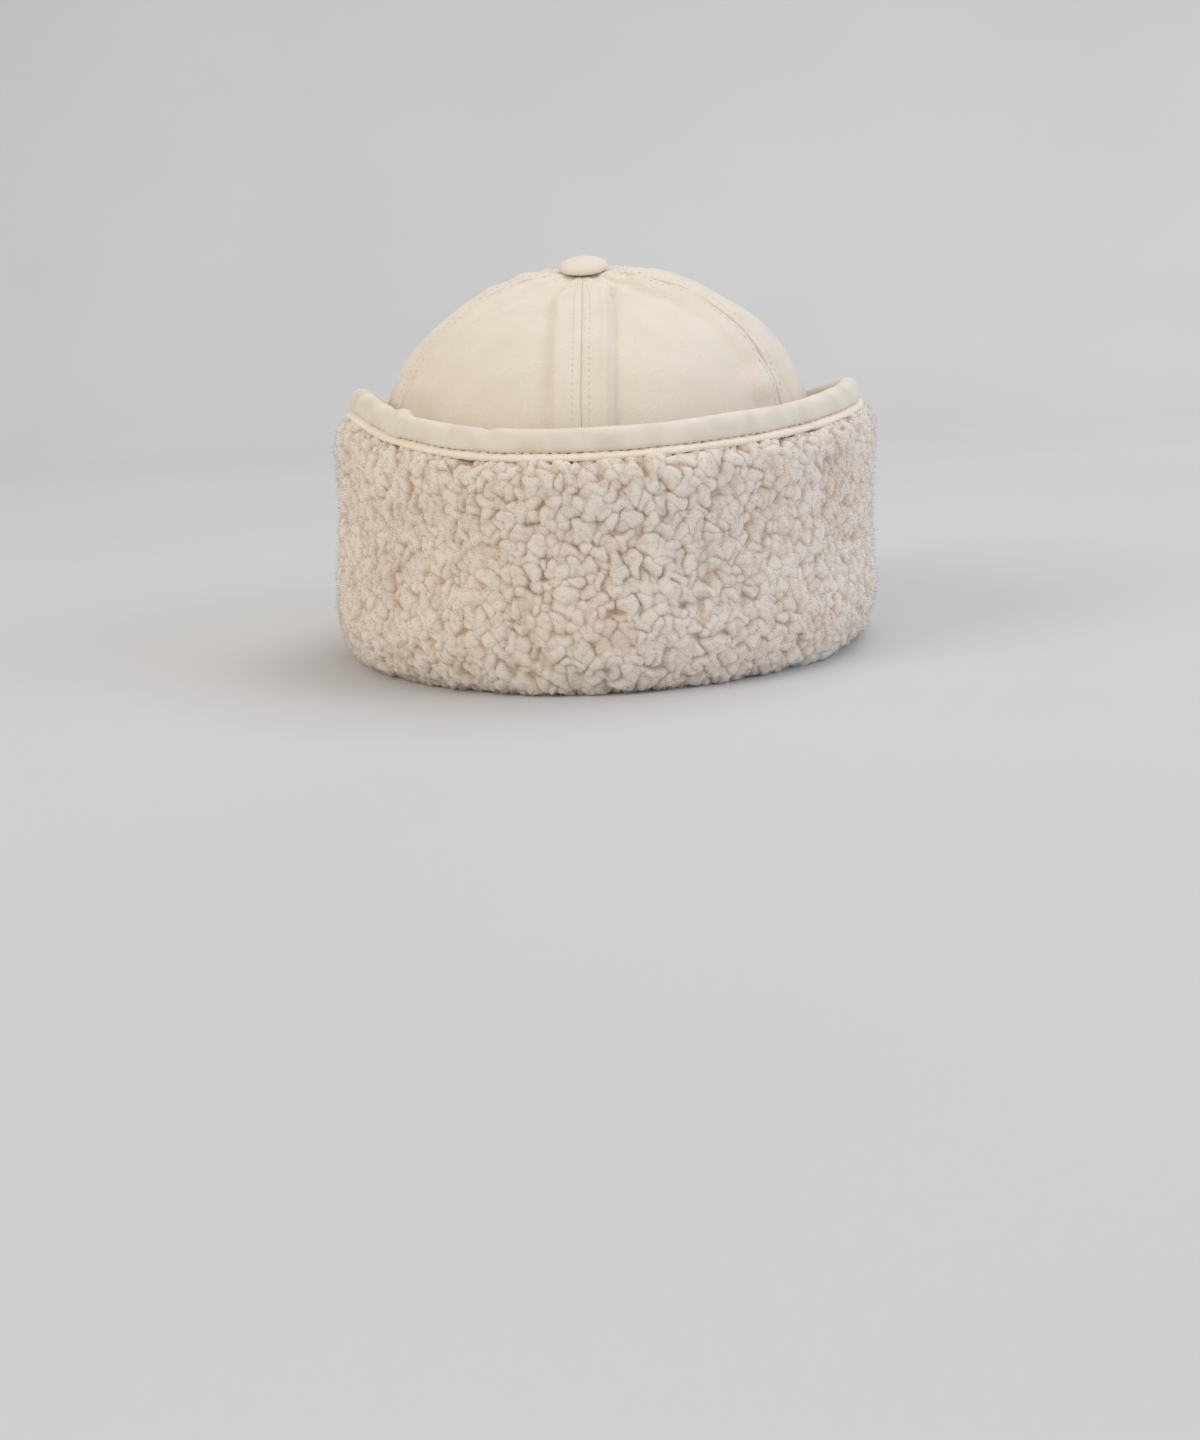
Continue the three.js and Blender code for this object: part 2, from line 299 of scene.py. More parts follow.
@dataclass(frozen=True)
class FoldedTape:
    """Ivory woven tape pressed into a roll: smoother than the crown, so it has a low broad highlight."""

    name: str = "folded_ivory_tape"
    pale: str = "e8dfce"
    deep: str = "ded4c0"
    # the real threads are about 0.35 mm, too fine to show: a crossed unevenness this coarse stands for them
    weave_mm: float = 5.655
    mottle_mm: float = 9.0
    roughness: float = 0.62
    sheen: float = 0.15

    def material(self) -> Material:
        """Makes the material.

        Returns:
            A plain weave that reads the tape's directions from the along and across attributes.
        """
        constants = {"Roughness": self.roughness, "Sheen Weight": self.sheen, "Specular IOR Level": 0.35}
        material, tree, shader = start_material(self.name, constants)
        threads = {
            "Vector": cloth_place(tree, "along", "across"),
            "Scale": 1 / (self.weave_mm * MM * STRAIGHT_BANDS),
            "Distortion": 0.6,
        }
        warp, weft = (add_node(tree, "ShaderNodeTexWave", threads, bands_direction=way) for way in "XY")
        crossed = {0: warp.outputs["Fac"], 1: weft.outputs["Fac"]}
        weave = add_node(tree, "ShaderNodeMath", crossed, operation="MULTIPLY")
        where = add_node(tree, "ShaderNodeTexCoord").outputs["Object"]
        blots = {"Vector": where, "Scale": 1 / (self.mottle_mm * MM), "Detail": 4.0}
        mottle = add_node(tree, "ShaderNodeTexNoise", blots)
        shades = {0.35: self.deep, 0.6: self.pale}
        colour = add_node(tree, "ShaderNodeValToRGB", {"Fac": mottle.outputs["Fac"]}, shades)
        relief = {"Height": weave.outputs[0], "Strength": 0.15, "Distance": 0.2 * MM}
        bump = add_node(tree, "ShaderNodeBump", relief)
        tree.links.new(colour.outputs["Color"], shader.inputs["Base Color"])
        tree.links.new(bump.outputs["Normal"], shader.inputs["Normal"])
        return material


@dataclass(frozen=True)
class SpunThread:
    """Ivory spun polyester thread: a shade deeper than the cloth, lighter and darker along the seam."""

    name: str = "spun_ivory_thread"
    pale: str = "e9decd"
    deep: str = "dbcdb6"
    # the real twist is about 0.6 mm, too fine to show: a change of tone this coarse stands for it
    twist_mm: float = 5.332
    roughness: float = 0.6

    def material(self) -> Material:
        """Makes the material.

        Returns:
            A thread with a slow light and dark.
        """
        material, tree, shader = start_material(self.name, {"Roughness": self.roughness})
        where = add_node(tree, "ShaderNodeTexCoord").outputs["Object"]
        twists = {"Vector": where, "Scale": 1 / (self.twist_mm * MM * DIAGONAL_BANDS)}
        twist = add_node(tree, "ShaderNodeTexWave", twists, bands_direction="DIAGONAL")
        shades = {0.2: self.deep, 0.8: self.pale}
        colour = add_node(tree, "ShaderNodeValToRGB", {"Fac": twist.outputs["Fac"]}, shades)
        tree.links.new(colour.outputs["Color"], shader.inputs["Base Color"])
        return material


@dataclass(frozen=True)
class StudioPaper:
    """Pale grey paper that sweeps up behind the cap: matt, with a faint unevenness."""

    name: str = "pale_studio_paper"
    pale: str = "d3d3d3"
    deep: str = "cfcfcf"
    cloud_mm: float = 333.3
    roughness: float = 0.9

    def material(self) -> Material:
        """Makes the material.

        Returns:
            A matt paper.
        """
        material, tree, shader = start_material(self.name, {"Roughness": self.roughness})
        where = add_node(tree, "ShaderNodeTexCoord").outputs["Object"]
        clouds = {"Vector": where, "Scale": 1 / (self.cloud_mm * MM)}
        cloud = add_node(tree, "ShaderNodeTexNoise", clouds)
        shades = {0.3: self.deep, 0.7: self.pale}
        colour = add_node(tree, "ShaderNodeValToRGB", {"Fac": cloud.outputs["Fac"]}, shades)
        tree.links.new(colour.outputs["Color"], shader.inputs["Base Color"])
        return material


@dataclass(frozen=True)
class Finishes:
    """The made materials, one for each finish."""

    cotton: Material
    fleece: Material
    fuzz: Material
    tape: Material
    lip: Material
    thread: Material
    paper: Material

    @classmethod
    def make(cls) -> Finishes:
        """Makes every material once.

        Returns:
            The materials.
        """
        # the loose fibres take paler flank and tip colours: painted light that lifts the shade on their sides
        fibres = CurlyWoolFleece("loose_wool_fibres", flank="ebddcc", tip="f6ecdf", cover=0.28)
        # the lip's cotton is the crown's made paler: painted light that makes up for the shade the rolled
        # tape casts on it
        fold = BrushedCottonTwill("painted_light_cotton_fold", pale="fbf0de", deep="f3e6d0")
        return cls(
            cotton=BrushedCottonTwill().material(),
            fleece=CurlyWoolFleece().material(),
            fuzz=fibres.material(),
            tape=FoldedTape().material(),
            lip=fold.material(),
            thread=SpunThread().material(),
            paper=StudioPaper().material(),
        )


def mesh_object(
    name: str,
    points_mm: Array,
    faces: Array,
    material: Material,
    attributes: dict[str, Array] | None = None,
    normals: Array | None = None,
) -> Piece:
    """Makes a smooth-shaded mesh object.

    Args:
        name: the object's name.
        points_mm: vertices, one row each.
        faces: vertex numbers, one row for each face, all with as many corners.
        material: its material.
        attributes: a number for each vertex, by attribute name.
        normals: the direction that each vertex is shaded by, if not the mesh's own.

    Returns:
        The object, linked to the scene.
    """
    mesh = bpy.data.meshes.new(name)
    count, corners = faces.shape
    mesh.vertices.add(len(points_mm))
    mesh.vertices.foreach_set("co", (points_mm * MM).astype(np.float32).ravel())
    mesh.loops.add(count * corners)
    mesh.loops.foreach_set("vertex_index", faces.astype(np.int32).ravel())
    mesh.polygons.add(count)
    mesh.polygons.foreach_set("loop_start", np.arange(count, dtype=np.int32) * corners)
    mesh.polygons.foreach_set("use_smooth", np.ones(count, dtype=bool))
    for attribute, values in (attributes or {}).items():
        layer = mesh.attributes.new(attribute, "FLOAT", "POINT")
        layer.data.foreach_set("value", values.astype(np.float32).ravel())
    mesh.update(calc_edges=True)
    mesh.validate()
    if normals is not None:
        mesh.normals_split_custom_set_from_vertices(normals.astype(np.float32))
    made = bpy.data.objects.new(name, mesh)
    made.data.materials.append(material)
    bpy.context.scene.collection.objects.link(made)
    return made


def settle(piece: Piece, slot: Slot, *nodes: str) -> Piece:
    """Ties a piece to the cap's frame.

    Args:
        piece: the piece.
        slot: the record's slot that its finish belongs to; not used.
        nodes: the solids that it stands for, if any.

    Returns:
        The piece.
    """
    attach(piece, BODY)
    if nodes:
        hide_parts(*nodes)
    LOG.info("%s: %d faces", piece.name, len(piece.data.polygons))
    return piece


def grid_faces(rows: int, columns: int, wrap_rows: bool = False, wrap_columns: bool = False) -> Array:
    """Numbers the quads of a grid of vertices.

    Args:
        rows: vertices one way.
        columns: vertices the other way, the way that runs first in the numbering.
        wrap_rows: whether the last row joins the first.
        wrap_columns: whether the last column joins the first.

    Returns:
        Four vertex numbers for each quad.
    """
    row = np.arange(rows if wrap_rows else rows - 1)[:, None]
    column = np.arange(columns if wrap_columns else columns - 1)[None, :]
    next_row = (row + 1) % rows
    next_column = (column + 1) % columns
    corners = [
        row * columns + column,
        row * columns + next_column,
        next_row * columns + next_column,
        next_row * columns + column,
    ]
    return np.stack(np.broadcast_arrays(*corners), axis=-1).reshape(-1, 4)


def cubic(here: Array, there: Array, leave: Array, arrive: Array, w: Array) -> Array:
    """Joins two rows of points by curves.

    Args:
        here: where the curves start.
        there: where they end.
        leave: the way that they set out.
        arrive: the way that they come in.
        w: where to read them, from 0 to 1.

    Returns:
        A point of each curve.
    """
    square = 3 * (there - here) - 2 * leave - arrive
    cube = 2 * (here - there) + leave + arrive
    return here + w * (leave + w * (square + w * cube))


def smooth_through(rows: Array, place: Array) -> Array:
    """Draws a curve through rows of numbers, with the spacing of the rows taken into account.

    Args:
        rows: the points that it goes through.
        place: where to read it, from 0 at the first row to 1 at the last.

    Returns:
        A point for each place.
    """
    spans = len(rows) - 1
    padded = np.vstack([2 * rows[0] - rows[1], rows, 2 * rows[-1] - rows[-2]])
    at = np.clip(place, 0, 1) * spans
    span = np.minimum(at.astype(int), spans - 1)
    w = (at - span)[:, None]
    before, here, there, after = (padded[span + k] for k in range(4))
    gaps = [
        np.maximum(np.sum((b - a) ** 2, axis=1, keepdims=True) ** 0.25, 1e-6)
        for a, b in ((before, here), (here, there), (there, after))
    ]
    leave = (here - before) / gaps[0] - (there - before) / (gaps[0] + gaps[1]) + (there - here) / gaps[1]
    arrive = (there - here) / gaps[1] - (after - here) / (gaps[1] + gaps[2]) + (after - there) / gaps[2]
    return cubic(here, there, leave * gaps[1], arrive * gaps[1], w)


def unit(vectors: Array) -> Array:
    """Scales each row to a length of 1."""
    return vectors / np.maximum(np.linalg.norm(vectors, axis=-1, keepdims=True), 1e-9)


def run_along(points: Array) -> Array:
    """Measures how far along a line each of its points lies."""
    return np.concatenate([[0], np.cumsum(np.linalg.norm(np.diff(points, axis=0), axis=1))])


def bell(place: Array, middle: float, spread: float | Array) -> Array:
    """Rises to 1 at the middle and falls off to both sides."""
    return np.exp(-(((place - middle) / spread) ** 2))


def ease(place: Array, start: float, length: float) -> Array:
    """Goes from 0 at the start to 1 a length further on."""
    return np.clip((place - start) / length, 0, 1)


def ripple(across: Array, along: Array, wave_mm: float, seed: int) -> Array:
    """Adds up a few crossing waves into a soft, settled unevenness.

    Args:
        across: place one way, in millimetres.
        along: place the other way.
        wave_mm: the usual distance from crest to crest.
        seed: which unevenness.

    Returns:
        A number from about -1 to 1 for each place.
    """
    draw = np.random.default_rng(seed)
    total = np.zeros_like(across)
    waves = 7
    for _ in range(waves):
        heading = draw.uniform(0, math.pi)
        length = wave_mm * draw.uniform(0.7, 1.6)
        reach = across * math.cos(heading) + along * math.sin(heading)
        total += np.sin(2 * math.pi * reach / length + draw.uniform(0, 2 * math.pi))
    return total / math.sqrt(waves * 2)


class CrownSection(NamedTuple):
    """One section of the crown: how far it reaches, how high it is, and its pull to the wearer's right."""

    side: float
    front: float
    back: float
    side_up: float
    front_up: float
    back_up: float
    sway: float


@dataclass
class CrownForm:
    """The smooth outside of the crown, without its seams."""

    sections: tuple[CrownSection, ...] = (
        CrownSection(85, 102, 102, 11, 11, 11, 0),
        CrownSection(86, 103, 104.5, 40, 40, 40, 0),
        CrownSection(85, 101, 105, 70, 69, 70, 0.6),
        CrownSection(80.3, 95, 101.5, 96, 94.5, 97, 1.1),
        CrownSection(69, 80.5, 91, 116.4, 113, 118.5, 1),
        CrownSection(50.5, 60, 70, 131.4, 125.8, 134.5, 1.3),
        CrownSection(29, 38, 38, 140.4, 133.7, 143.4, 2.2),
        CrownSection(13, 22.5, 7, 142.4, 138.3, 144.6, 2.8),
        CrownSection(3.2, 13.2, -6.8, 142.3, 141.2, 143.2, 3),
    )

    def point(self, turn: Array, rise: Array) -> Array:
        """Finds points of the crown.

        Args:
            turn: angles round it.
            rise: 0 at the rim to 1 at the hole under the button.

        Returns:
            A point for each pair.
        """
        rows = self.sections
        front = smooth_through(np.array([(-r.sway, -r.front, r.front_up) for r in rows]), rise)
        side = smooth_through(np.array([(r.side, 0, r.side_up) for r in rows]), rise)
        back = smooth_through(np.array([(-r.sway, r.back, r.back_up) for r in rows]), rise)
        forward = np.cos(turn)
        end_up = np.where(forward > 0, front[:, 2], back[:, 2])
        return np.stack(
            [
                front[:, 0] + side[:, 0] * np.sin(turn),
                (front[:, 1] + back[:, 1]) / 2 - (back[:, 1] - front[:, 1]) / 2 * forward,
                side[:, 2] + (end_up - side[:, 2]) * forward**2,
            ],
            axis=1,
        )

    def normal(self, turn: Array, rise: Array) -> Array:
        """Finds the outward directions of the crown.

        Args:
            turn: angles round it.
            rise: 0 at the rim to 1 at the hole under the button.

        Returns:
            A direction for each pair.
        """
        small = 1e-3
        round_it = self.point(turn + small, rise) - self.point(turn - small, rise)
        upward = self.point(turn, np.minimum(rise + small, 1)) - self.point(turn, np.maximum(rise - small, 0))
        return unit(np.cross(round_it, upward))

    def arc(self, start: float, end: float, rise: Array) -> Array:
        """Measures the crown from one turn to another.

        Args:
            start: the first turn.
            end: the last turn.
            rise: the heights to measure at.

        Returns:
            The length of each arc.
        """
        steps = 24
        turns = np.linspace(start, end, steps + 1)
        points = [self.point(np.full_like(rise, turn), rise) for turn in turns]
        return sum(np.linalg.norm(b - a, axis=1) for a, b in zip(points, points[1:]))


class Panel(NamedTuple):
    """One crown panel: its name, the seams it lies between in degrees, how puckered each seam is, and how
    far the cloth sinks beside the ridge at its first seam.
    """

    name: str
    start: float
    end: float
    start_pucker: float
    end_pucker: float
    start_sink: float = 0.0


class ReliefPoint(NamedTuple):
    """A point of the relief beside a seam: its distance from the seam and the cloth's rise there."""

    away: float
    rise: float


class Pucker(NamedTuple):
    """One size of pucker along a seam: where it is strongest and how far it spreads, its pace across the seam
    against that along it, its usual wave, its height and its seed.
    """

    middle: float
    spread: float
    pace: float
    wave: float
    height: float
    seed: int


@dataclass
class Crown:
    """Six cloth panels and their topstitching."""

    form: CrownForm = field(default_factory=CrownForm)
    panels: tuple[Panel, ...] = (
        Panel("crown_panel_front_left", 0, 58, 0.15, 1.5, 1.75),
        Panel("crown_panel_side_left", 58, 120, 1.5, 0.6),
        Panel("crown_panel_back_left", 120, 180, 0.6, 0.4),
        Panel("crown_panel_back_right", 180, 240, 0.4, 0.6),
        Panel("crown_panel_side_right", 240, 302, 0.6, 0.8),
        Panel("crown_panel_front_right", 302, 360, 0.8, 0.15),
    )
    wall: float = 2.0
    least_wall: float = 0.6  # where the outside sinks, the inside gives way to keep this much
    seam_gap: float = 0.08
    full_relief_width: float = 38.0
    cloth_run: float = 150.0  # the run from rim to button that the ripples and the weave are laid out on
    rows: int = 70
    columns: int = 68
    crowding: float = 1.5  # how far the columns draw together near a seam
    crimp: Pucker = Pucker(5.0, 5.0, 0.35, 5.0, 0.3, SEED)
    fold: Pucker = Pucker(7.0, 9.0, 0.3, 12.0, 0.85, SEED + 40)
    sag_wave: float = 34.0
    sag_height: float = 0.4
    button_fade: float = 0.25
    edge_away: float = 8.6
    edge_spread: float = 1.8
    edge_stand: float = 0.3
    sink_away: float = 11.6
    sink_before: float = 1.2
    sink_after: float = 2.0
    stitch_away: float = 3.0
    stitch_step: float = 2.7
    stitch_radius: float = 0.22
    # a shallow seam, a stitched flat ridge and a soft valley
    relief: tuple[ReliefPoint, ...] = (
        ReliefPoint(0, 0.75),
        ReliefPoint(0.5, 1.1),
        ReliefPoint(1.3, 1.38),
        ReliefPoint(2.5, 1.43),
        ReliefPoint(3.0, 1.3),
        ReliefPoint(3.5, 1.43),
        ReliefPoint(8.8, 1.55),
        ReliefPoint(10.0, 1.35),
        ReliefPoint(11.2, 0.6),
        ReliefPoint(12.8, -0.6),
        ReliefPoint(14.5, -1.1),
        ReliefPoint(17, -0.85),
        ReliefPoint(21, -0.3),
        ReliefPoint(27, 0),
    )

    def rise_of_cloth(self, away: Array, width: Array) -> Array:
        """Reads the seam relief.

        Args:
            away: distance from the nearer seam.
            width: the panel's width there, which closes the relief up near the button.

        Returns:
            How far the cloth stands out from the smooth crown.
        """
        places, rises = np.array(self.relief).T
        close = np.minimum(1, width / self.full_relief_width)
        return np.interp(away / close, places, rises) * close

    def columns_across(self) -> Array:
        """Places the columns from 0 to 1, closer together near the two seams."""
        even = np.linspace(-1, 1, self.columns)
        return 0.5 + 0.5 * np.sign(even) * (1 - (1 - np.abs(even)) ** self.crowding)

    def surface(
        self, panel: Panel, share: Array, rise: Array
    ) -> tuple[Array, Array, Array, dict[str, Array]]:
        """Finds the dressed outside of a panel.

        Args:
            panel: which panel.
            share: place from its first seam at 0 to its last at 1.
            rise: place from the rim at 0 to the button at 1.

        Returns:
            Points of the smooth crown, their outward directions, how far the cloth lifts off them, and the
            cloth's across and along in metres.
        """
        start, end = math.radians(panel.start), math.radians(panel.end)
        levels, where = np.unique(rise, return_inverse=True)
        width = self.form.arc(start, end, levels)[where]
        along = self.cloth_run * rise
        inset = self.seam_gap / 2 / width
        held = inset + (1 - 2 * inset) * share
        turn = start + (end - start) * held
        away = width * np.minimum(held, 1 - held)
        first_half = share < 0.5
        pucker = np.where(first_half, panel.start_pucker, panel.end_pucker)
        gathers = sum(
            ripple(away * kind.pace, along, kind.wave, kind.seed + int(panel.start))
            * kind.height
            * bell(away, kind.middle, kind.spread)
            for kind in (self.crimp, self.fold)
        )
        spread = np.where(away < self.sink_away, self.sink_before, self.sink_after)
        stand = self.edge_stand * bell(away, self.edge_away, self.edge_spread)
        sink = np.where(first_half, panel.start_sink, 0) * (bell(away, self.sink_away, spread) - stand)
        slack = 1 - bell(away, self.fold.middle, self.fold.spread)
        waves = ripple(width * share, along, self.sag_wave, SEED + 7 + int(panel.start))
        sag = waves * self.sag_height * slack
        fade = ease(1 - rise, 0, self.button_fade)
        lift = self.rise_of_cloth(away, width) + (gathers * pucker + sag - sink) * fade
        cloth = {"across": (share - 0.5) * width * MM, "along": along * MM}
        return self.form.point(turn, rise), self.form.normal(turn, rise), lift, cloth

    def flat_size(self, panel: Panel) -> tuple[float, float]:
        """Measures a panel along the smooth crown.

        Args:
            panel: which panel.

        Returns:
            Its greatest width and its run from rim to button, in metres.
        """
        start, end = math.radians(panel.start), math.radians(panel.end)
        levels = np.linspace(0, 1, 200)
        middle = self.form.point(np.full_like(levels, (start + end) / 2), levels)
        width = self.form.arc(start, end, levels).max()
        return float(width) * MM, float(run_along(middle)[-1]) * MM

    def build_panel(self, panel: Panel, finishes: Finishes) -> Piece:
        """Builds one panel as a closed wall of cloth.

        Args:
            panel: which panel.
            finishes: the materials.

        Returns:
            The panel.
        """
        levels = np.linspace(0, 1, self.rows)
        share, rise = (values.ravel() for values in np.meshgrid(self.columns_across(), levels))
        base, normal, lift, cloth = self.surface(panel, share, rise)
        depth = np.maximum(self.wall, self.least_wall - lift)
        points = np.vstack([base + normal * lift[:, None], base - normal * depth[:, None]])
        skin = grid_faces(self.rows, self.columns)
        number = np.arange(self.rows * self.columns).reshape(self.rows, self.columns)
        border = np.concatenate([number[0, :-1], number[:-1, -1], number[-1, :0:-1], number[:0:-1, 0]])
        after = np.roll(border, -1)
        size = len(base)
        rim = np.stack([border, border + size, after + size, after], axis=1)
        faces = np.vstack([skin, skin[:, ::-1] + size, rim])
        both = {name: np.concatenate([values, values]) for name, values in cloth.items()}
        made = mesh_object(panel.name.replace("crown_panel", "cloth"), points, faces, finishes.cotton, both)
        settle(made, Slot.COTTON, panel.name)
        width, length = self.flat_size(panel)
        return made

    def build_stitching(self, finishes: Finishes) -> Piece:
        """Builds the topstitching, one row each side of every seam.

        Args:
            finishes: the materials.

        Returns:
            All the stitches as one piece.
        """
        lines = [self.stitch_line(panel, side) for panel in self.panels for side in (0, 1)]
        made = stitches("crown_topstitch", lines, self.stitch_radius, finishes.thread)
        return settle(made, Slot.COTTON)

    def stitch_line(self, panel: Panel, side: int) -> tuple[Array, Array, Array]:
        """Finds the ends of one row of stitches.

        Args:
            panel: the panel that it lies on.
            side: 0 beside its first seam, 1 beside its last.

        Returns:
            The first and last points of each stitch, and the outward directions there.
        """
        start, end = math.radians(panel.start), math.radians(panel.end)
        fine = np.linspace(0.0, 0.9, 600)
        width = self.form.arc(start, end, fine)
        close = np.minimum(1, width / self.full_relief_width)
        share = self.stitch_away * close / width
        share = share if side == 0 else 1 - share
        base, normal, lift, _ = self.surface(panel, share, fine)
        return dashes(base + normal * lift[:, None], normal, self.stitch_step)


def dashes(points: Array, normal: Array, step: float, share: float = 0.78) -> tuple[Array, Array, Array]:
    """Cuts a line into stitches of even length.

    Args:
        points: the line.
        normal: the outward direction along it.
        step: from the start of one stitch to the next.
        share: the share of a step that the thread shows.

    Returns:
        The first and last points of each stitch, and the outward direction in its middle.
    """
    run = run_along(points)
    starts = np.arange(0, run[-1] - step, step)

    def read(values: Array, at: Array) -> Array:
        """Reads rows at places along the line."""
        return np.stack([np.interp(at, run, values[:, k]) for k in range(3)], axis=1)

    first, last = read(points, starts), read(points, starts + share * step)
    return first, last, unit(read(normal, starts + share * step / 2))


def stitches(
    name: str, lines: list[tuple[Array, Array, Array]], radius: float, material: Material
) -> Piece:
    """Makes short bowed threads.

    Args:
        name: the piece's name.
        lines: rows of stitches, as dashes gives them.
        radius: of the thread.
        material: of the thread.

    Returns:
        All of them as one mesh.
    """
    first, last, normal = (np.vstack([line[k] for line in lines]) for k in range(3))
    rings, sides = 5, 6
    length = last - first
    aside = unit(np.cross(length, normal))
    points = []
    for ring in range(rings):
        u = ring / (rings - 1)
        bow = math.sin(math.pi * u)
        centre = first + length * u + normal * radius * (1.5 * bow - 1.0)
        thick = radius * (0.35 + 0.65 * bow**0.5)
        for side in range(sides):
            angle = 2 * math.pi * side / sides
            points.append(centre + thick * (math.cos(angle) * aside + math.sin(angle) * normal))
    vertices = np.stack(points, axis=1).reshape(-1, 3)
    tube = grid_faces(rings, sides, wrap_columns=True)
    return mesh_object(name, vertices, repeat_faces(tube, len(first), rings * sides), material)


def repeat_faces(faces: Array, copies: int, size: int) -> Array:
    """Repeats a set of faces for copies of its vertices that lie one after another.

    Args:
        faces: one copy's faces.
        copies: how many.
        size: vertices in each copy.

    Returns:
        All the faces.
    """
    return (faces[None] + size * np.arange(copies)[:, None, None]).reshape(-1, faces.shape[1])


@dataclass
class Button:
    """The covered button where the panels meet."""

    form: CrownForm = field(default_factory=CrownForm)
    radius: float = 9.5
    height: float = 4.0
    brim: float = 0.9
    above_seams: float = 1.2
    shank_radius: float = 1.8
    shank_length: float = 4.0
    sides: int = 96
    gathers: int = 16
    pleat: float = 0.14
    pleat_spread: float = 1.6
    sag: float = 0.12
    sag_wave: float = 7.0

    def outline(self) -> Array:
        """Draws half its section, from the foot of the shank round the brim to the middle of the dome.

        Returns:
            Distance from its axis and height, one row for each point.
        """
        angle = np.linspace(0, math.pi / 2, 22)
        up = self.brim + (self.height - self.brim) * np.sin(angle)
        dome = np.stack([self.radius * np.cos(angle) ** 0.9, up], axis=1)
        near_axis = 0.02
        dome[-1, 0] = near_axis
        lip = self.radius - self.brim
        foot = [(near_axis, -self.shank_length), (self.shank_radius, -self.shank_length)]
        under = [(self.shank_radius, 0.35), (lip * 0.6, 0.2), (lip, 0.0), (self.radius - 0.25, 0.25)]
        return np.vstack([foot, under, dome])

    def build(self, finishes: Finishes) -> Piece:
        """Builds the button along the crown's slope.

        Args:
            finishes: the materials.

        Returns:
            The button.
        """
        half = self.outline()
        turn = np.linspace(0, 2 * math.pi, self.sides, endpoint=False)
        reach, up = half[:, 0][:, None], half[:, 1][:, None]
        waves = np.cos(self.gathers * turn)[None, :]
        pleat = waves * self.pleat * bell(reach, self.radius, self.pleat_spread)
        dents = ripple(reach * np.cos(turn), reach * np.sin(turn), self.sag_wave, SEED + 3)
        sag = self.sag * dents * (up > self.brim)
        x, y = (reach + pleat) * np.cos(turn), (reach + pleat) * np.sin(turn)
        z = np.broadcast_to(up, x.shape) + sag
        points = np.stack([x, y, z], axis=-1).reshape(-1, 3)
        front, back = self.form.point(np.array([0.0, math.pi]), np.ones(2))
        slope = math.atan2(back[2] - front[2], back[1] - front[1])
        frame = np.array(Matrix.Rotation(slope, 3, "X"))
        points = (points + [0, 0, self.above_seams]) @ frame.T + (front + back) / 2
        faces = grid_faces(len(half), self.sides, wrap_columns=True)
        cloth = {"across": x.ravel() * MM, "along": y.ravel() * MM}
        made = mesh_object("covered_button", points, faces, finishes.cotton, cloth)
        return settle(made, Slot.COTTON, "crown_button")


class EdgePoint(NamedTuple):
    """The flap's bound edge at one turn: its height, and how far it leans out past the flap's foot."""

    height: float
    lean: float


@dataclass
class FlapForm:
    """The rim and the turned-up flap: where its cloth stands, how high its edge is and how it leans."""

    rim_side: float = 85.0
    rim_end: float = 102.0
    # the edge in equal turns from the front towards the wearer's left
    edge: tuple[EdgePoint, ...] = (
        EdgePoint(90, 1),
        EdgePoint(91.2, 1.5),
        EdgePoint(93.5, 2),
        EdgePoint(96.8, 2.7),
        EdgePoint(98.5, 3),
        EdgePoint(93.5, 2.6),
        EdgePoint(86, 2),
        EdgePoint(81.5, 1.4),
        EdgePoint(80, 1),
        EdgePoint(81.5, 0.4),
        EdgePoint(86, -0.5),
        EdgePoint(92, -2),
        EdgePoint(100.5, -3),
        EdgePoint(102.8, -2.2),
        EdgePoint(96.2, -1),
        EdgePoint(91.2, 0.2),
    )
    foot_out: float = 8.0
    foot_up: float = 11.0

    def beside_rim(self, turn: Array, out: Array, up: Array) -> Array:
        """Finds points beside the rim.

        Args:
            turn: angles round the cap.
            out: how far outside the rim.
            up: height above the ground.

        Returns:
            A point for each set, in an array with a last axis of 3.
        """
        turn, out, up = np.broadcast_arrays(turn, out, up)
        x, y = self.rim_end * np.sin(turn), -self.rim_side * np.cos(turn)
        length = np.hypot(x, y)
        return np.stack(
            [
                self.rim_side * np.sin(turn) + out * x / length,
                -self.rim_end * np.cos(turn) + out * y / length,
                up,
            ],
            axis=-1,
        )

    def edge_at(self, turn: Array) -> tuple[Array, Array]:
        """Reads the edge, smooth through its rows.

        Args:
            turn: angles round the cap.

        Returns:
            Its height and its lean at each turn.
        """
        table = np.array(self.edge)
        rows = len(table)
        place = (turn / (2 * math.pi)) % 1 * rows
        row = np.floor(place).astype(int)
        w = (place - row)[..., None]
        before, here, there, after = (table[(row + k) % rows] for k in (-1, 0, 1, 2))
        smooth = cubic(here, there, (there - before) / 2, (after - here) / 2, w)
        return smooth[..., 0], smooth[..., 1]

    def cloth_out(self, up: Array, turn: Array) -> Array:
        """Reads how far outside the rim the middle of the flap's cloth stands at a height and turn."""
        height, lean = self.edge_at(turn)
        return self.foot_out + lean * (up - self.foot_up) / (height - self.foot_up)


class PilePoint(NamedTuple):
    """A point of the fleece's section: out from the rim, up from the ground, and how far it follows the
    edge as that rises and leans.
    """

    out: float
    up: float
    lift: float


class Tuft(NamedTuple):
    """One size of tuft in the pile: how far apart they grow, how wide and high they are, how oval they may
    be, and how sharp the crease is where two meet.
    """

    spacing: float
    radius: float
    height: float
    stretch: float
    crease: float
    seed: int


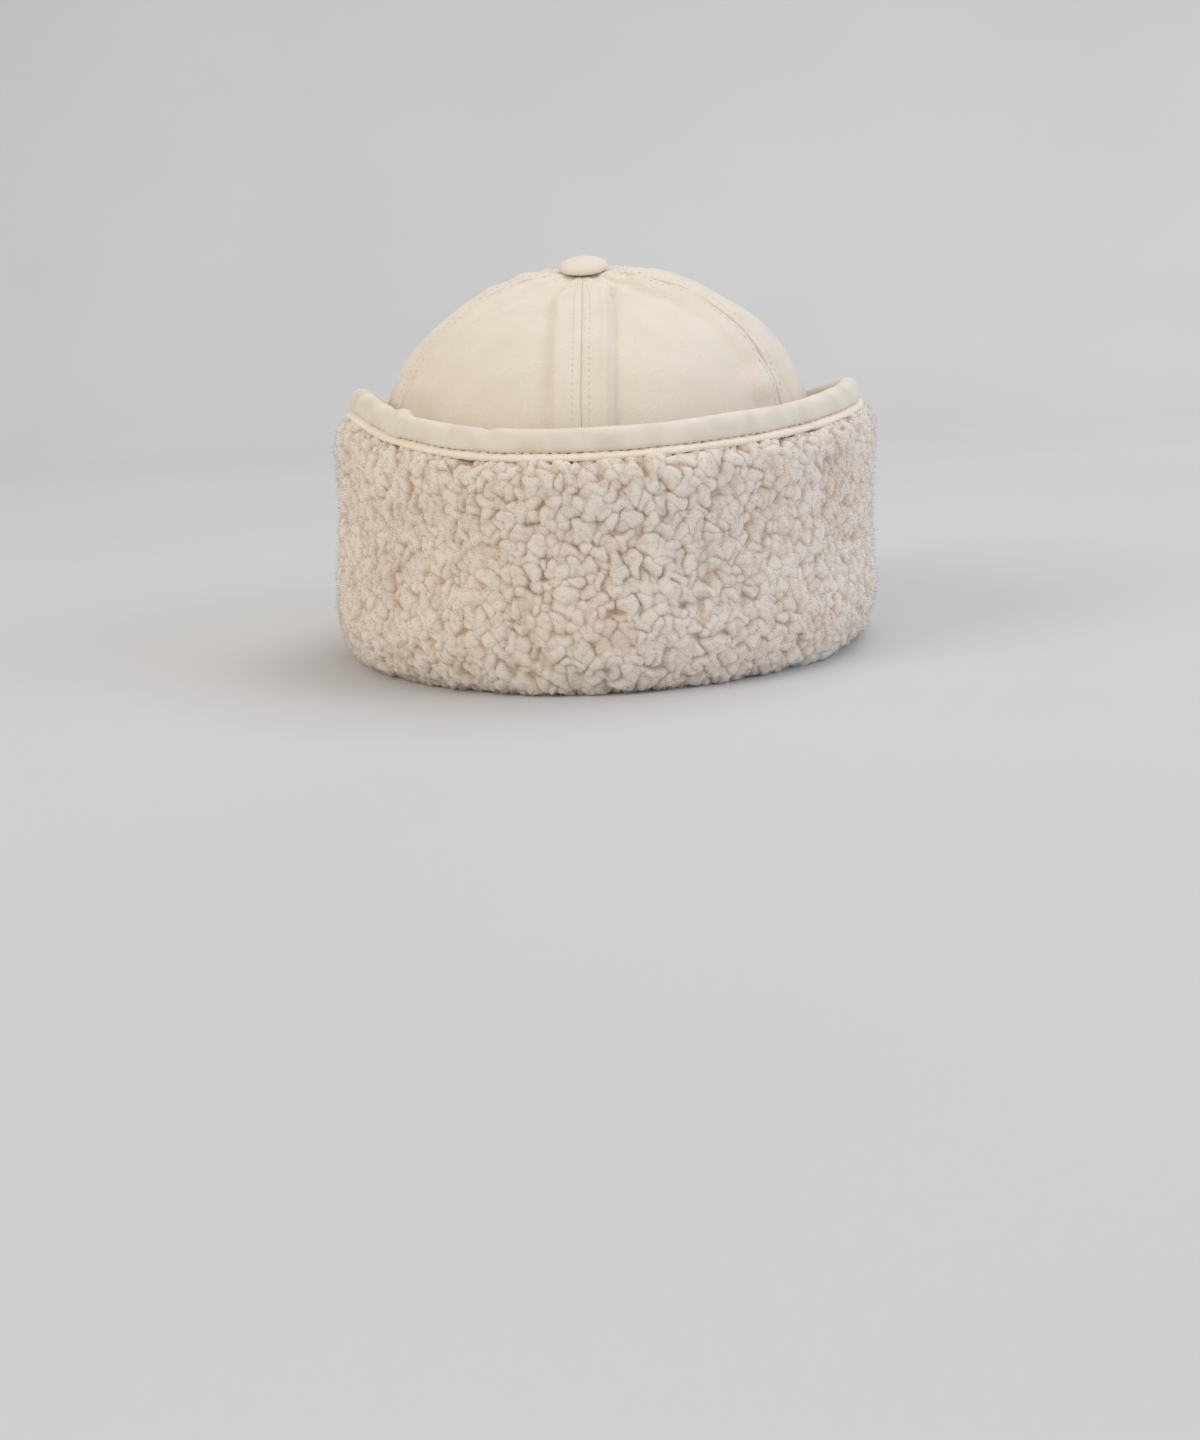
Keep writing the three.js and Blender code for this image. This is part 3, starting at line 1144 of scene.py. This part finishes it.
@dataclass
class Fleece:
    """Curly pile on the flap, rolled under the fold to the inside of the rim."""

    form: FlapForm = field(default_factory=FlapForm)
    # the face that shows, from under the binding, down the outside, under the fold and up the inside
    face: tuple[PilePoint, ...] = (
        PilePoint(10.2, 79.4, 1),
        PilePoint(14.0, 79.4, 1),
        PilePoint(17.2, 76.6, 0.95),
        PilePoint(18.4, 71.5, 0.85),
        PilePoint(18.2, 63.5, 0.7),
        PilePoint(17.6, 53, 0.55),
        PilePoint(18.2, 42, 0.4),
        PilePoint(19.2, 31, 0.2),
        PilePoint(19.8, 20.5, 0),
        PilePoint(18.2, 11, 0),
        PilePoint(14, 3.2, 0),
        PilePoint(8.5, 0, 0),
        PilePoint(0, 0, 0),
        PilePoint(-4, 1.2, 0),
        PilePoint(-9, 6.5, 0),
        PilePoint(-11.4, 16, 0),
        PilePoint(-10.6, 26, 0),
        PilePoint(-6.5, 31, 0),
        PilePoint(-2.8, 28, 0),
    )
    # the backing, which closes the section against the crown and the flap's cloth
    backing: tuple[PilePoint, ...] = (
        PilePoint(-2.8, 9, 0),
        PilePoint(7, 9, 0),
        PilePoint(9.2, 11.5, 0),
        PilePoint(9.7, 43, 0.45),
    )
    front_height: float = 90.0
    front_lean: float = 1.0
    lean_share: float = 0.9
    round_length: float = 712.0
    outside_step: float = 0.58
    inside_step: float = 1.6
    locks: Tuft = Tuft(10.0, 7.8, 1.7, 1.2, 10.0, 31)
    curls: Tuft = Tuft(3.8, 2.8, 2.6, 1.12, 16.0, 32)
    knots: Tuft = Tuft(1.9, 1.4, 0.3, 1.1, 14.0, 33)
    tuft_shift: float = 0.4
    tuft_girths: tuple[float, float] = (0.85, 1.3)
    tuft_stands: tuple[float, float] = (0.6, 1.0)
    tuft_roundness: float = 0.8
    sway: float = 1.2
    sway_wave: float = 9.0
    swell: float = 0.5
    swell_wave: float = 45.0
    puff: float = 0.22
    upper_fade: float = 3.0
    inner_fade: float = 5.0
    shown_shares: tuple[float, float, float] = (0.25, 0.75, 0.1)  # of locks, curls and knots
    set_back: float = 2.6  # from the section to the pile's roots, so that the tufts end near the section
    softness: float = 0.52  # how far the fibres even out the light and shade of the curls
    core_out: float = 4.0
    core_up: float = 30.0
    lap_steps: int = 6
    lap_dip: float = 1.2
    fuzz: int = 56000
    fuzz_length: tuple[float, float] = (1.0, 2.6)
    fuzz_radius: float = 0.16
    fuzz_lean: tuple[float, float] = (25.0, 80.0)
    fuzz_root: float = 0.15
    fuzz_from: int = 6  # the first column that they grow on, just below the binding
    fuzz_to: float = 0.85  # the share of the columns that they grow on, as far as under the fold
    fuzz_tip: float = 0.25  # how much paler they are at the tip, further towards the pile's painted highlight

    def place(self, turn: Array, section: Array) -> Array:
        """Carries a section round the flap.

        Args:
            turn: angles, as a column.
            section: out, up and lift of each point.

        Returns:
            Points by angle and point of the section.
        """
        out, up, lift = (section[:, k][None, :] for k in range(3))
        height, lean = self.form.edge_at(turn)
        lean = self.lean_share * (lean - self.front_lean)
        return self.form.beside_rim(turn, out + lift * lean, up + lift * (height - self.front_height))

    def section(self) -> tuple[Array, Array]:
        """Draws the face's section in even steps, longer ones where it isn't seen.

        Returns:
            Out, up and lift for each point, and how far down the section it is.
        """
        rows = np.array(self.face, dtype=float)
        samples, foot_row = 2400, 11
        fine = smooth_through(rows, np.linspace(0, 1, samples))
        run = run_along(fine[:, :2])
        foot = run[int(samples * foot_row / (len(rows) - 1))]
        outside = np.arange(0, foot, self.outside_step)
        inside = np.arange(foot, run[-1], self.inside_step)
        down = np.concatenate([outside, inside, [run[-1]]])
        return np.stack([np.interp(down, run, fine[:, k]) for k in range(3)], axis=1), down

    def grow(self, tuft: Tuft, along: Array, down: Array) -> tuple[Array, Array, Array]:
        """Grows oval tufts of one size that crowd each other and run together where they meet.

        Args:
            tuft: the size.
            along: place round the flap.
            down: place along the section.

        Returns:
            How high the tufts stand from 0 to about 1, and the way to each place from the middle of the
            tufts over it, round and down.
        """
        draw = np.random.default_rng(tuft.seed)
        columns = int(round(self.round_length / tuft.spacing))
        pitch = self.round_length / columns
        lines = int(down.max() / pitch) + 6
        shift_x, shift_y = draw.uniform(-self.tuft_shift, self.tuft_shift, (2, lines, columns))
        girth = tuft.radius * draw.uniform(*self.tuft_girths, (lines, columns))
        stand = draw.uniform(*self.tuft_stands, (lines, columns))
        slant = draw.uniform(0, math.pi, (lines, columns))
        stretch = draw.uniform(1.0, tuft.stretch, (lines, columns))
        line = np.floor(down / pitch).astype(int) + 2
        total, best, from_x, from_y = np.zeros((4, *along.shape))
        for d_line in (-2, -1, 0, 1, 2):
            row = np.clip(line + d_line, 0, lines - 1)
            offset = 0.5 * (row % 2)
            column = np.floor(along / pitch - offset).astype(int)
            for d_column in (-1, 0, 1, 2):
                index = (column + d_column) % columns
                dx = along - (column + d_column + offset + shift_x[row, index]) * pitch
                dy = down - (row - 2 + shift_y[row, index]) * pitch
                turn, longer = slant[row, index], stretch[row, index]
                length_way = (dx * np.cos(turn) + dy * np.sin(turn)) / longer
                width_way = (dy * np.cos(turn) - dx * np.sin(turn)) * longer
                far = (length_way**2 + width_way**2) / girth[row, index] ** 2
                high = stand[row, index] * np.clip(1 - far, 0, 1) ** self.tuft_roundness
                weight = np.expm1(tuft.crease * high)
                total += weight
                best += weight * high
                from_x += weight * dx
                from_y += weight * dy
        total += 0.1  # keeps the bare ground between tufts from dividing by nothing
        return best / total, from_x / total, from_y / total

    def wander(self, along: Array, down: Array, wave_mm: float, seed: int) -> Array:
        """Adds up waves that close on themselves round the flap.

        Args:
            along: place round the flap.
            down: place along the section.
            wave_mm: usual distance from crest to crest.
            seed: which waves.

        Returns:
            A number mostly from -1.5 to 1.5 for each place.
        """
        draw = np.random.default_rng(seed)
        total = np.zeros(along.shape)
        waves = 8
        for _ in range(waves):
            cycles = round(self.round_length / wave_mm * draw.uniform(-1.2, 1.2))
            slant = draw.uniform(-1.2, 1.2) / wave_mm
            phase = 2 * math.pi * (cycles * along / self.round_length + slant * down)
            total += np.sin(phase + draw.uniform(0, 2 * math.pi))
        return total / math.sqrt(waves)

    def pile(self) -> tuple[Array, Array, Array]:
        """Works out the whole pile, all the way round.

        Returns:
            Points by step round and point of the section, how high the pile stands at each, and the
            direction that it is shaded by there.
        """
        section, run = self.section()
        rounds = int(self.round_length / self.outside_step / 4) * 4
        turn = np.linspace(0, 2 * math.pi, rounds, endpoint=False)[:, None]
        base = self.place(turn, section)
        round_way = unit(np.roll(base, -1, axis=0) - np.roll(base, 1, axis=0))
        down_way = unit(np.gradient(base, axis=1))
        normal = unit(np.cross(down_way, round_way))
        along = np.broadcast_to(turn / (2 * math.pi) * self.round_length, base.shape[:2])
        down = np.broadcast_to(run[None, :], base.shape[:2])
        sway_x = along + self.sway * self.wander(along, down, self.sway_wave, SEED)
        sway_y = down + self.sway * self.wander(along, down, self.sway_wave, SEED + 1)
        lock, _, _ = self.grow(self.locks, sway_x, sway_y)
        curl, curl_x, curl_y = self.grow(self.curls, sway_x, sway_y)
        knot, _, _ = self.grow(self.knots, sway_x, sway_y)
        fade = (ease(run[-1] - run, 0, self.inner_fade) * ease(run, 0, self.upper_fade))[None, :]
        sizes = ((self.locks, lock), (self.curls, curl), (self.knots, knot))
        height = sum(high * size.height for size, high in sizes) - self.set_back
        height = height + self.swell * self.wander(along, down, self.swell_wave, SEED + 4)
        puff = self.puff * curl * fade
        points = base + normal * (height * fade)[..., None]
        points += round_way * (curl_x * puff)[..., None] + down_way * (curl_y * puff)[..., None]
        points[..., 2] = np.maximum(points[..., 2], 0)
        # this height sets the pile's colour: painted shade where it is low, in the creases and where the pile
        # thins under the binding and inside the fold, painted highlight on the crests
        seen = sum(share * tuft for share, tuft in zip(self.shown_shares, (lock, curl, knot)))
        shown = np.clip(seen * (0.4 + 0.6 * fade), 0, 1)
        round_way = np.roll(points, -1, axis=0) - np.roll(points, 1, axis=0)
        faced = unit(np.cross(np.gradient(points, axis=1), round_way))
        return points, shown, unit((1 - self.softness) * faced + self.softness * normal)

    def build(self, finishes: Finishes) -> list[Piece]:
        """Builds the pile in four quarters that lap under each other, and its loose fibres.

        Args:
            finishes: the materials.

        Returns:
            The pieces.
        """
        points, shown, shading = self.pile()
        rounds = len(points)
        made = []
        for k, node in enumerate(FLEECE_NODES):
            first = k * rounds // 4 - rounds // 8 - self.lap_steps
            steps = np.arange(first, first + rounds // 4 + 2 * self.lap_steps + 1)
            made.append(self.build_quarter(node, steps, points, shown, shading, finishes))
        return made + self.build_fuzz(points, shown, finishes)

    def build_quarter(
        self, node: str, steps: Array, points: Array, shown: Array, shading: Array, finishes: Finishes
    ) -> Piece:
        """Builds one quarter of the ring, from its pile to its backing.

        Args:
            node: the solid that it stands for.
            steps: the steps round that it covers.
            points: the whole pile.
            shown: how high the pile stands.
            shading: the direction that it is shaded by.
            finishes: the materials.

        Returns:
            The quarter.
        """
        rounds = len(points)
        turn = (steps * 2 * math.pi / rounds)[:, None]
        back = self.place(turn, np.array(self.backing, dtype=float))
        from_end = np.minimum(np.arange(len(steps)), np.arange(len(steps))[::-1])
        dip = np.clip(1 - from_end / self.lap_steps, 0, 1) ** 2
        face = points[steps % rounds]
        core = self.form.beside_rim(turn, self.core_out, self.core_up)
        face = face + unit(core - face) * (self.lap_dip * dip)[:, None, None]
        whole = np.concatenate([face, back], axis=1)
        faces = grid_faces(*whole.shape[:2], wrap_columns=True)
        height = np.concatenate([shown[steps % rounds], np.zeros(back.shape[:2])], axis=1)
        name = node.removeprefix("flap_")
        further_out = self.form.beside_rim(turn, 2 * self.core_out, self.core_up)
        behind = np.broadcast_to(unit(core - further_out), back.shape)
        lit = np.concatenate([shading[steps % rounds], behind], axis=1).reshape(-1, 3)
        level = {"pile_height": height.ravel()}
        made = mesh_object(name, whole.reshape(-1, 3), faces, finishes.fleece, level, lit)
        return settle(made, Slot.FLEECE, node)

    def build_fuzz(self, points: Array, shown: Array, finishes: Finishes) -> list[Piece]:
        """Builds short pointed fibres that stand up from the curls every way.

        Args:
            points: the whole pile.
            shown: how high the pile stands.
            finishes: the materials.

        Returns:
            The fibres of the front half and of the back half.
        """
        draw = np.random.default_rng(SEED + 9)
        rounds, columns = shown.shape
        round_way = unit(np.roll(points, -2, axis=0) - np.roll(points, 2, axis=0))
        down_way = unit(np.gradient(points, axis=1))
        normal = unit(np.cross(down_way, round_way))
        step = draw.integers(0, rounds, self.fuzz)
        place = draw.integers(self.fuzz_from, int(columns * self.fuzz_to), self.fuzz)
        root, out = points[step, place], normal[step, place]
        heading = draw.uniform(0, 2 * math.pi, self.fuzz)[:, None]
        aside = np.cos(heading) * round_way[step, place] + np.sin(heading) * down_way[step, place]
        rise = np.radians(draw.uniform(*self.fuzz_lean, self.fuzz))[:, None]
        way = unit(np.cos(rise) * aside + np.sin(rise) * out)
        length = draw.uniform(*self.fuzz_length, self.fuzz)[:, None]
        across = unit(np.cross(way, out))
        over = np.cross(across, way)
        foot = root - self.fuzz_root * out
        corners = (0.5, 2.6, 4.7)
        ring = [foot + self.fuzz_radius * (math.cos(a) * across + math.sin(a) * over) for a in corners]
        tip = root + length * way
        vertices = np.stack([*ring, tip], axis=1)
        vertices[..., 2] = np.maximum(vertices[..., 2], 0)
        spike = np.array([[0, 1, 3], [1, 2, 3], [2, 0, 3], [2, 1, 0]])
        level = shown[step, place][:, None] + np.array([0, 0, 0, self.fuzz_tip])
        made = []
        for name, chosen in (("front", root[:, 1] < 0), ("back", root[:, 1] >= 0)):
            some = vertices[chosen]
            faces = repeat_faces(spike, len(some), len(ring) + 1)
            high = {"pile_height": np.clip(level[chosen], 0, 1).ravel()}
            piece = mesh_object(f"fleece_fuzz_{name}", some.reshape(-1, 3), faces, finishes.fuzz, high)
            made.append(settle(piece, Slot.FLEECE))
        return made


class EdgeShape(NamedTuple):
    """A point of a section at the flap's edge: out from the middle of the cloth and up from the edge."""

    out: float
    up: float


@dataclass
class FlapEdge:
    """The flap's cloth, the tape rolled over its edge, the lip under it and the stitches between."""

    form: FlapForm = field(default_factory=FlapForm)
    cloth_wall: float = 1.5
    cloth_below_edge: float = 3.2
    steps: int = 480
    radius: float = 103.0  # usual distance of the edge from the cap's axis, for lengths along it
    join_turn: float = -45.0  # where the tape's two ends lap, in degrees
    join_lap: float = 6.0
    join_slant: float = 0.12
    join_spread: float = 18.0
    join_middle: float = 12.0  # place across the tape that its slant turns about
    kink_turn: float = -20.0
    kink_spread: float = 4.5
    kink_dip: float = 0.5
    tape_width: float = 30.0
    tape_shown: tuple[float, float] = (2.0, 24.0)  # the part across the tape that may crease
    crease: float = 0.18
    crease_wave: float = 9.0
    crease_at_join: float = 2.2
    soft: float = 0.25
    soft_wave: float = 38.0
    lip_root: float = 1.5
    lip_waves: tuple[tuple[float, float], ...] = ((0.12, 5.4), (0.1, 23.1))  # height and length of each
    slack: float = 0.45
    slack_wave: float = 30.0
    tape: tuple[EdgeShape, ...] = (
        EdgeShape(1.15, -7.95),
        EdgeShape(2.5, -7.93),
        EdgeShape(4.0, -7.6),
        EdgeShape(4.75, -6.8),
        EdgeShape(4.7, -5.0),
        EdgeShape(4.1, -2.9),
        EdgeShape(3.1, -1.2),
        EdgeShape(1.75, -0.2),
        EdgeShape(0, 0.1),
        EdgeShape(-1.6, -0.3),
        EdgeShape(-2.7, -1.5),
        EdgeShape(-3.2, -3.2),
        EdgeShape(-3.1, -5.4),
        EdgeShape(-2.6, -7.2),
        EdgeShape(-1.15, -8.0),
        EdgeShape(-1.15, -2.8),
        EdgeShape(1.15, -2.8),
    )
    lip: tuple[EdgeShape, ...] = (
        EdgeShape(1.1, -10.3),
        EdgeShape(3.6, -10.7),
        EdgeShape(5.3, -10.6),
        EdgeShape(6.1, -9.95),
        EdgeShape(6.0, -9.1),
        EdgeShape(5.2, -8.4),
        EdgeShape(4.0, -7.98),
        EdgeShape(1.1, -8.0),
    )
    groove: EdgeShape = EdgeShape(3.7, -7.8)  # between the tape and the lip, where the stitches lie
    stitch_step: float = 3.2
    stitch_radius: float = 0.3

    def sweep(self, outline: Array, turn: Array, bulge: Array) -> Array:
        """Carries a section round the flap's edge.

        Args:
            outline: out and up, one row for each point of the section.
            turn: the angles to stop at.
            bulge: extra size at each angle and each point.

        Returns:
            Points by angle and point of the section.
        """
        height, _ = self.form.edge_at(turn)
        away = unit(outline - outline.mean(axis=0))
        out = outline[:, 0][None, :] + away[:, 0][None, :] * bulge
        up = height[:, None] + outline[:, 1][None, :] + away[:, 1][None, :] * bulge
        return self.form.beside_rim(turn[:, None], self.form.cloth_out(up, turn[:, None]) + out, up)

    def build_tape(self, finishes: Finishes) -> Piece:
        """Builds the rolled tape, whose ends lap at the join.

        Args:
            finishes: the materials.

        Returns:
            The tape.
        """
        start = math.radians(self.join_turn)
        round_mm = 2 * math.pi * self.radius
        turn = np.linspace(start, start + 2 * math.pi + self.join_lap / self.radius, self.steps)
        outline = smooth_through(np.array(self.tape), np.linspace(0, 1, 46))
        along = ((turn - start) * self.radius)[:, None] + np.zeros((1, len(outline)))
        across = np.linspace(0, self.tape_width, len(outline))[None, :] + np.zeros_like(along)
        crease = self.crease * ripple(along + 0.6 * across, 0.8 * across, self.crease_wave, SEED + 5)
        soft = self.soft * ripple(along, across, self.soft_wave, SEED + 6)
        near_join = bell(np.minimum(along, round_mm - along), 0, self.join_spread)
        kink = bell(along, math.radians(self.kink_turn - self.join_turn) * self.radius, self.kink_spread)
        first, last = self.tape_shown
        held = ease(across, first, 4) * ease(-across, -last, 4)
        wrinkled = 0.5 + self.crease_at_join * (near_join + kink)
        bulge = (crease * wrinkled + soft - self.kink_dip * kink) * held
        # the lapping end climbs over the other, then drops to its cut edge
        past = along - round_mm + self.join_slant * (across - self.join_middle)
        lap = 0.8 * ease(past, -6, 5) - 1.8 * ease(past, self.join_lap - 2, 1.2)
        bulge += lap * ease(across, first - 1, 3) * ease(-across, -last, 3)
        points = self.sweep(outline, turn, bulge)
        cloth = {"along": along.ravel() * MM, "across": across.ravel() * MM}
        faces = grid_faces(len(turn), len(outline), wrap_columns=True)
        made = mesh_object("binding_tape", points.reshape(-1, 3), faces, finishes.tape, cloth)
        return settle(made, Slot.TAPE, "edge_binding")

    def build_lip(self, finishes: Finishes) -> Piece:
        """Builds the narrow fold of cloth that shows below the stitching.

        Args:
            finishes: the materials.

        Returns:
            The lip.
        """
        turn = np.linspace(0, 2 * math.pi, self.steps, endpoint=False)
        outline = np.array(self.lip)
        along = (turn * self.radius)[:, None] + np.zeros((1, len(outline)))
        across = np.arange(len(outline))[None, :] + np.zeros_like(along)
        wave = sum(height * np.sin(2 * math.pi * along / length) for height, length in self.lip_waves)
        points = self.sweep(outline, turn, wave * (outline[:, 0] > self.lip_root))
        faces = grid_faces(len(turn), len(outline), wrap_rows=True, wrap_columns=True)
        cloth = {"along": along.ravel() * MM, "across": across.ravel() * MM}
        made = mesh_object("binding_lip", points.reshape(-1, 3), faces, finishes.lip, cloth)
        return settle(made, Slot.COTTON)

    def build_stitching(self, finishes: Finishes) -> Piece:
        """Builds the row of stitches in the groove between the tape and the lip.

        Args:
            finishes: the materials.

        Returns:
            The stitches.
        """
        turn = np.linspace(0, 2 * math.pi, 3000)
        flat = np.zeros((len(turn), 1))
        groove = np.array([self.groove])
        points = self.sweep(groove, turn, flat)[:, 0]
        ahead = self.sweep(groove + [1, 0], turn, flat)[:, 0]
        line = dashes(points, unit(ahead - points), self.stitch_step)
        made = stitches("binding_stitch", [line], self.stitch_radius, finishes.thread)
        return settle(made, Slot.TAPE)

    def build_cloth(self, finishes: Finishes) -> Piece:
        """Builds the flap's cloth side, which faces the crown while the flap is up.

        Args:
            finishes: the materials.

        Returns:
            The cloth.
        """
        steps, levels = 240, 28
        turn = np.linspace(0, 2 * math.pi, steps, endpoint=False)[:, None]
        height, _ = self.form.edge_at(turn)
        share = np.linspace(0, 1, levels)[None, :]
        up = self.form.foot_up + (height - self.cloth_below_edge - self.form.foot_up) * share
        out = self.form.cloth_out(up, turn)
        along = turn * self.radius + np.zeros_like(up)
        slack = np.abs(self.slack * ripple(along, up, self.slack_wave, SEED + 8)) * np.sin(math.pi * share)
        inside = self.form.beside_rim(turn, out - self.cloth_wall / 2 - slack, up)
        outside = self.form.beside_rim(turn, out + self.cloth_wall / 2, up)
        whole = np.concatenate([outside, inside[:, ::-1]], axis=1)
        faces = grid_faces(steps, 2 * levels, wrap_rows=True, wrap_columns=True)
        cloth = {
            "along": np.concatenate([along, along], axis=1).ravel() * MM,
            "across": np.concatenate([up, up[:, ::-1]], axis=1).ravel() * MM,
        }
        made = mesh_object("flap_lining", whole.reshape(-1, 3), faces, finishes.cotton, cloth)
        settle(made, Slot.COTTON, "flap_cloth")
        return made


class Lamp(NamedTuple):
    """A square lamp: its name, place, size, watts and colour."""

    name: str
    place: tuple[float, float, float]
    size: float
    watts: float
    colour: str


@dataclass
class Studio:
    """Floor, light and camera."""

    target_up: float = -33.5
    distance: float = 765.0
    elevation: float = 12.2
    azimuth: float = 3.0
    roll: float = 2.6
    focal_px: float = 1900.0
    target_px: float = 613.0  # column of the picture that the cap's axis falls on
    sensor: float = 36.0
    sky: str = "f4f4f6"
    sky_strength: float = 0.6
    lamps: tuple[Lamp, ...] = (
        Lamp("warm_key", (-2050, -1700, 1700), 1500, 28.5, "fff0de"),
        Lamp("cool_fill", (2250, -1050, 1250), 1500, 21.0, "dde7ff"),
        Lamp("top_light", (700, 800, 2300), 1600, 17.0, "ffffff"),
    )
    lamp_aim_up: float = 70.0

    def build_camera(self) -> Piece:
        """Places the camera.

        Returns:
            The camera, set as the scene's.
        """
        turn, tilt, roll = (math.radians(a) for a in (self.azimuth, self.elevation, self.roll))
        back = Vector((math.sin(turn) * math.cos(tilt), -math.cos(turn) * math.cos(tilt), math.sin(tilt)))
        right = Vector((math.cos(turn), math.sin(turn), 0))
        up = back.cross(right)
        rolled_right = right * math.cos(roll) - up * math.sin(roll)
        rolled_up = right * math.sin(roll) + up * math.cos(roll)
        data = bpy.data.cameras.new("camera")
        data.sensor_width = self.sensor
        data.lens = self.sensor * self.focal_px / IMAGE_HEIGHT
        data.shift_x = -(self.target_px - IMAGE_WIDTH / 2) / IMAGE_HEIGHT
        camera = bpy.data.objects.new("camera", data)
        place = Vector((0, 0, self.target_up)) + back * self.distance
        basis = Matrix((rolled_right, rolled_up, back)).transposed().to_4x4()
        camera.matrix_world = Matrix.Translation(place * MM) @ basis
        bpy.context.scene.collection.objects.link(camera)
        bpy.context.scene.camera = camera
        return camera

    def build_floor(self, finishes: Finishes) -> Piece:
        """Builds a floor that sweeps up into a backdrop.

        Args:
            finishes: the materials.

        Returns:
            The floor.
        """
        front, bend_start, bend, height, half = -2600.0, 1100.0, 700.0, 2600.0, 3200.0
        angle = np.linspace(0, math.pi / 2, 24)
        sweep = np.stack([bend_start + bend * np.sin(angle), bend * (1 - np.cos(angle))], axis=1)
        line = np.vstack([[front, 0.0], sweep, [bend_start + bend, height]])
        points = np.array([(x, y, z) for x in (-half, half) for y, z in line])
        faces = grid_faces(2, len(line))[:, ::-1]
        floor = mesh_object("floor", points, faces, finishes.paper)
        return floor

    def build_lights(self) -> None:
        """Sets a broad warm light at the viewer's left, a cool one at the right, and a pale sky."""
        scene = bpy.context.scene
        scene.view_settings.view_transform = "Standard"
        world = bpy.data.worlds.new("soft_daylight")
        world.use_nodes = True
        sky = world.node_tree.nodes["Background"]
        sky.inputs["Color"].default_value = linear(self.sky)
        sky.inputs["Strength"].default_value = self.sky_strength
        scene.world = world
        for lamp in self.lamps:
            data = bpy.data.lights.new(lamp.name, "AREA")
            data.size = lamp.size * MM
            data.energy = lamp.watts
            data.color = linear(lamp.colour)[:3]
            made = bpy.data.objects.new(lamp.name, data)
            made.location = Vector(lamp.place) * MM
            aim = Vector((0, 0, self.lamp_aim_up)) * MM - made.location
            made.rotation_euler = aim.to_track_quat("-Z", "Y").to_euler()
            scene.collection.objects.link(made)


def main() -> None:
    """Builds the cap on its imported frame."""
    logging.basicConfig(level=logging.INFO, format="%(name)s: %(message)s")
    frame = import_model()
    LOG.info("%d solids in the frame", len(frame["nodes"]))
    studio = Studio()
    studio.build_camera()
    studio.build_lights()
    finishes = Finishes.make()
    studio.build_floor(finishes)
    crown = Crown()
    for panel in crown.panels:
        crown.build_panel(panel, finishes)
    crown.build_stitching(finishes)
    Button().build(finishes)
    edge = FlapEdge()
    edge.build_cloth(finishes)
    edge.build_tape(finishes)
    edge.build_lip(finishes)
    edge.build_stitching(finishes)
    Fleece().build(finishes)


if __name__ == "__main__":
    main()
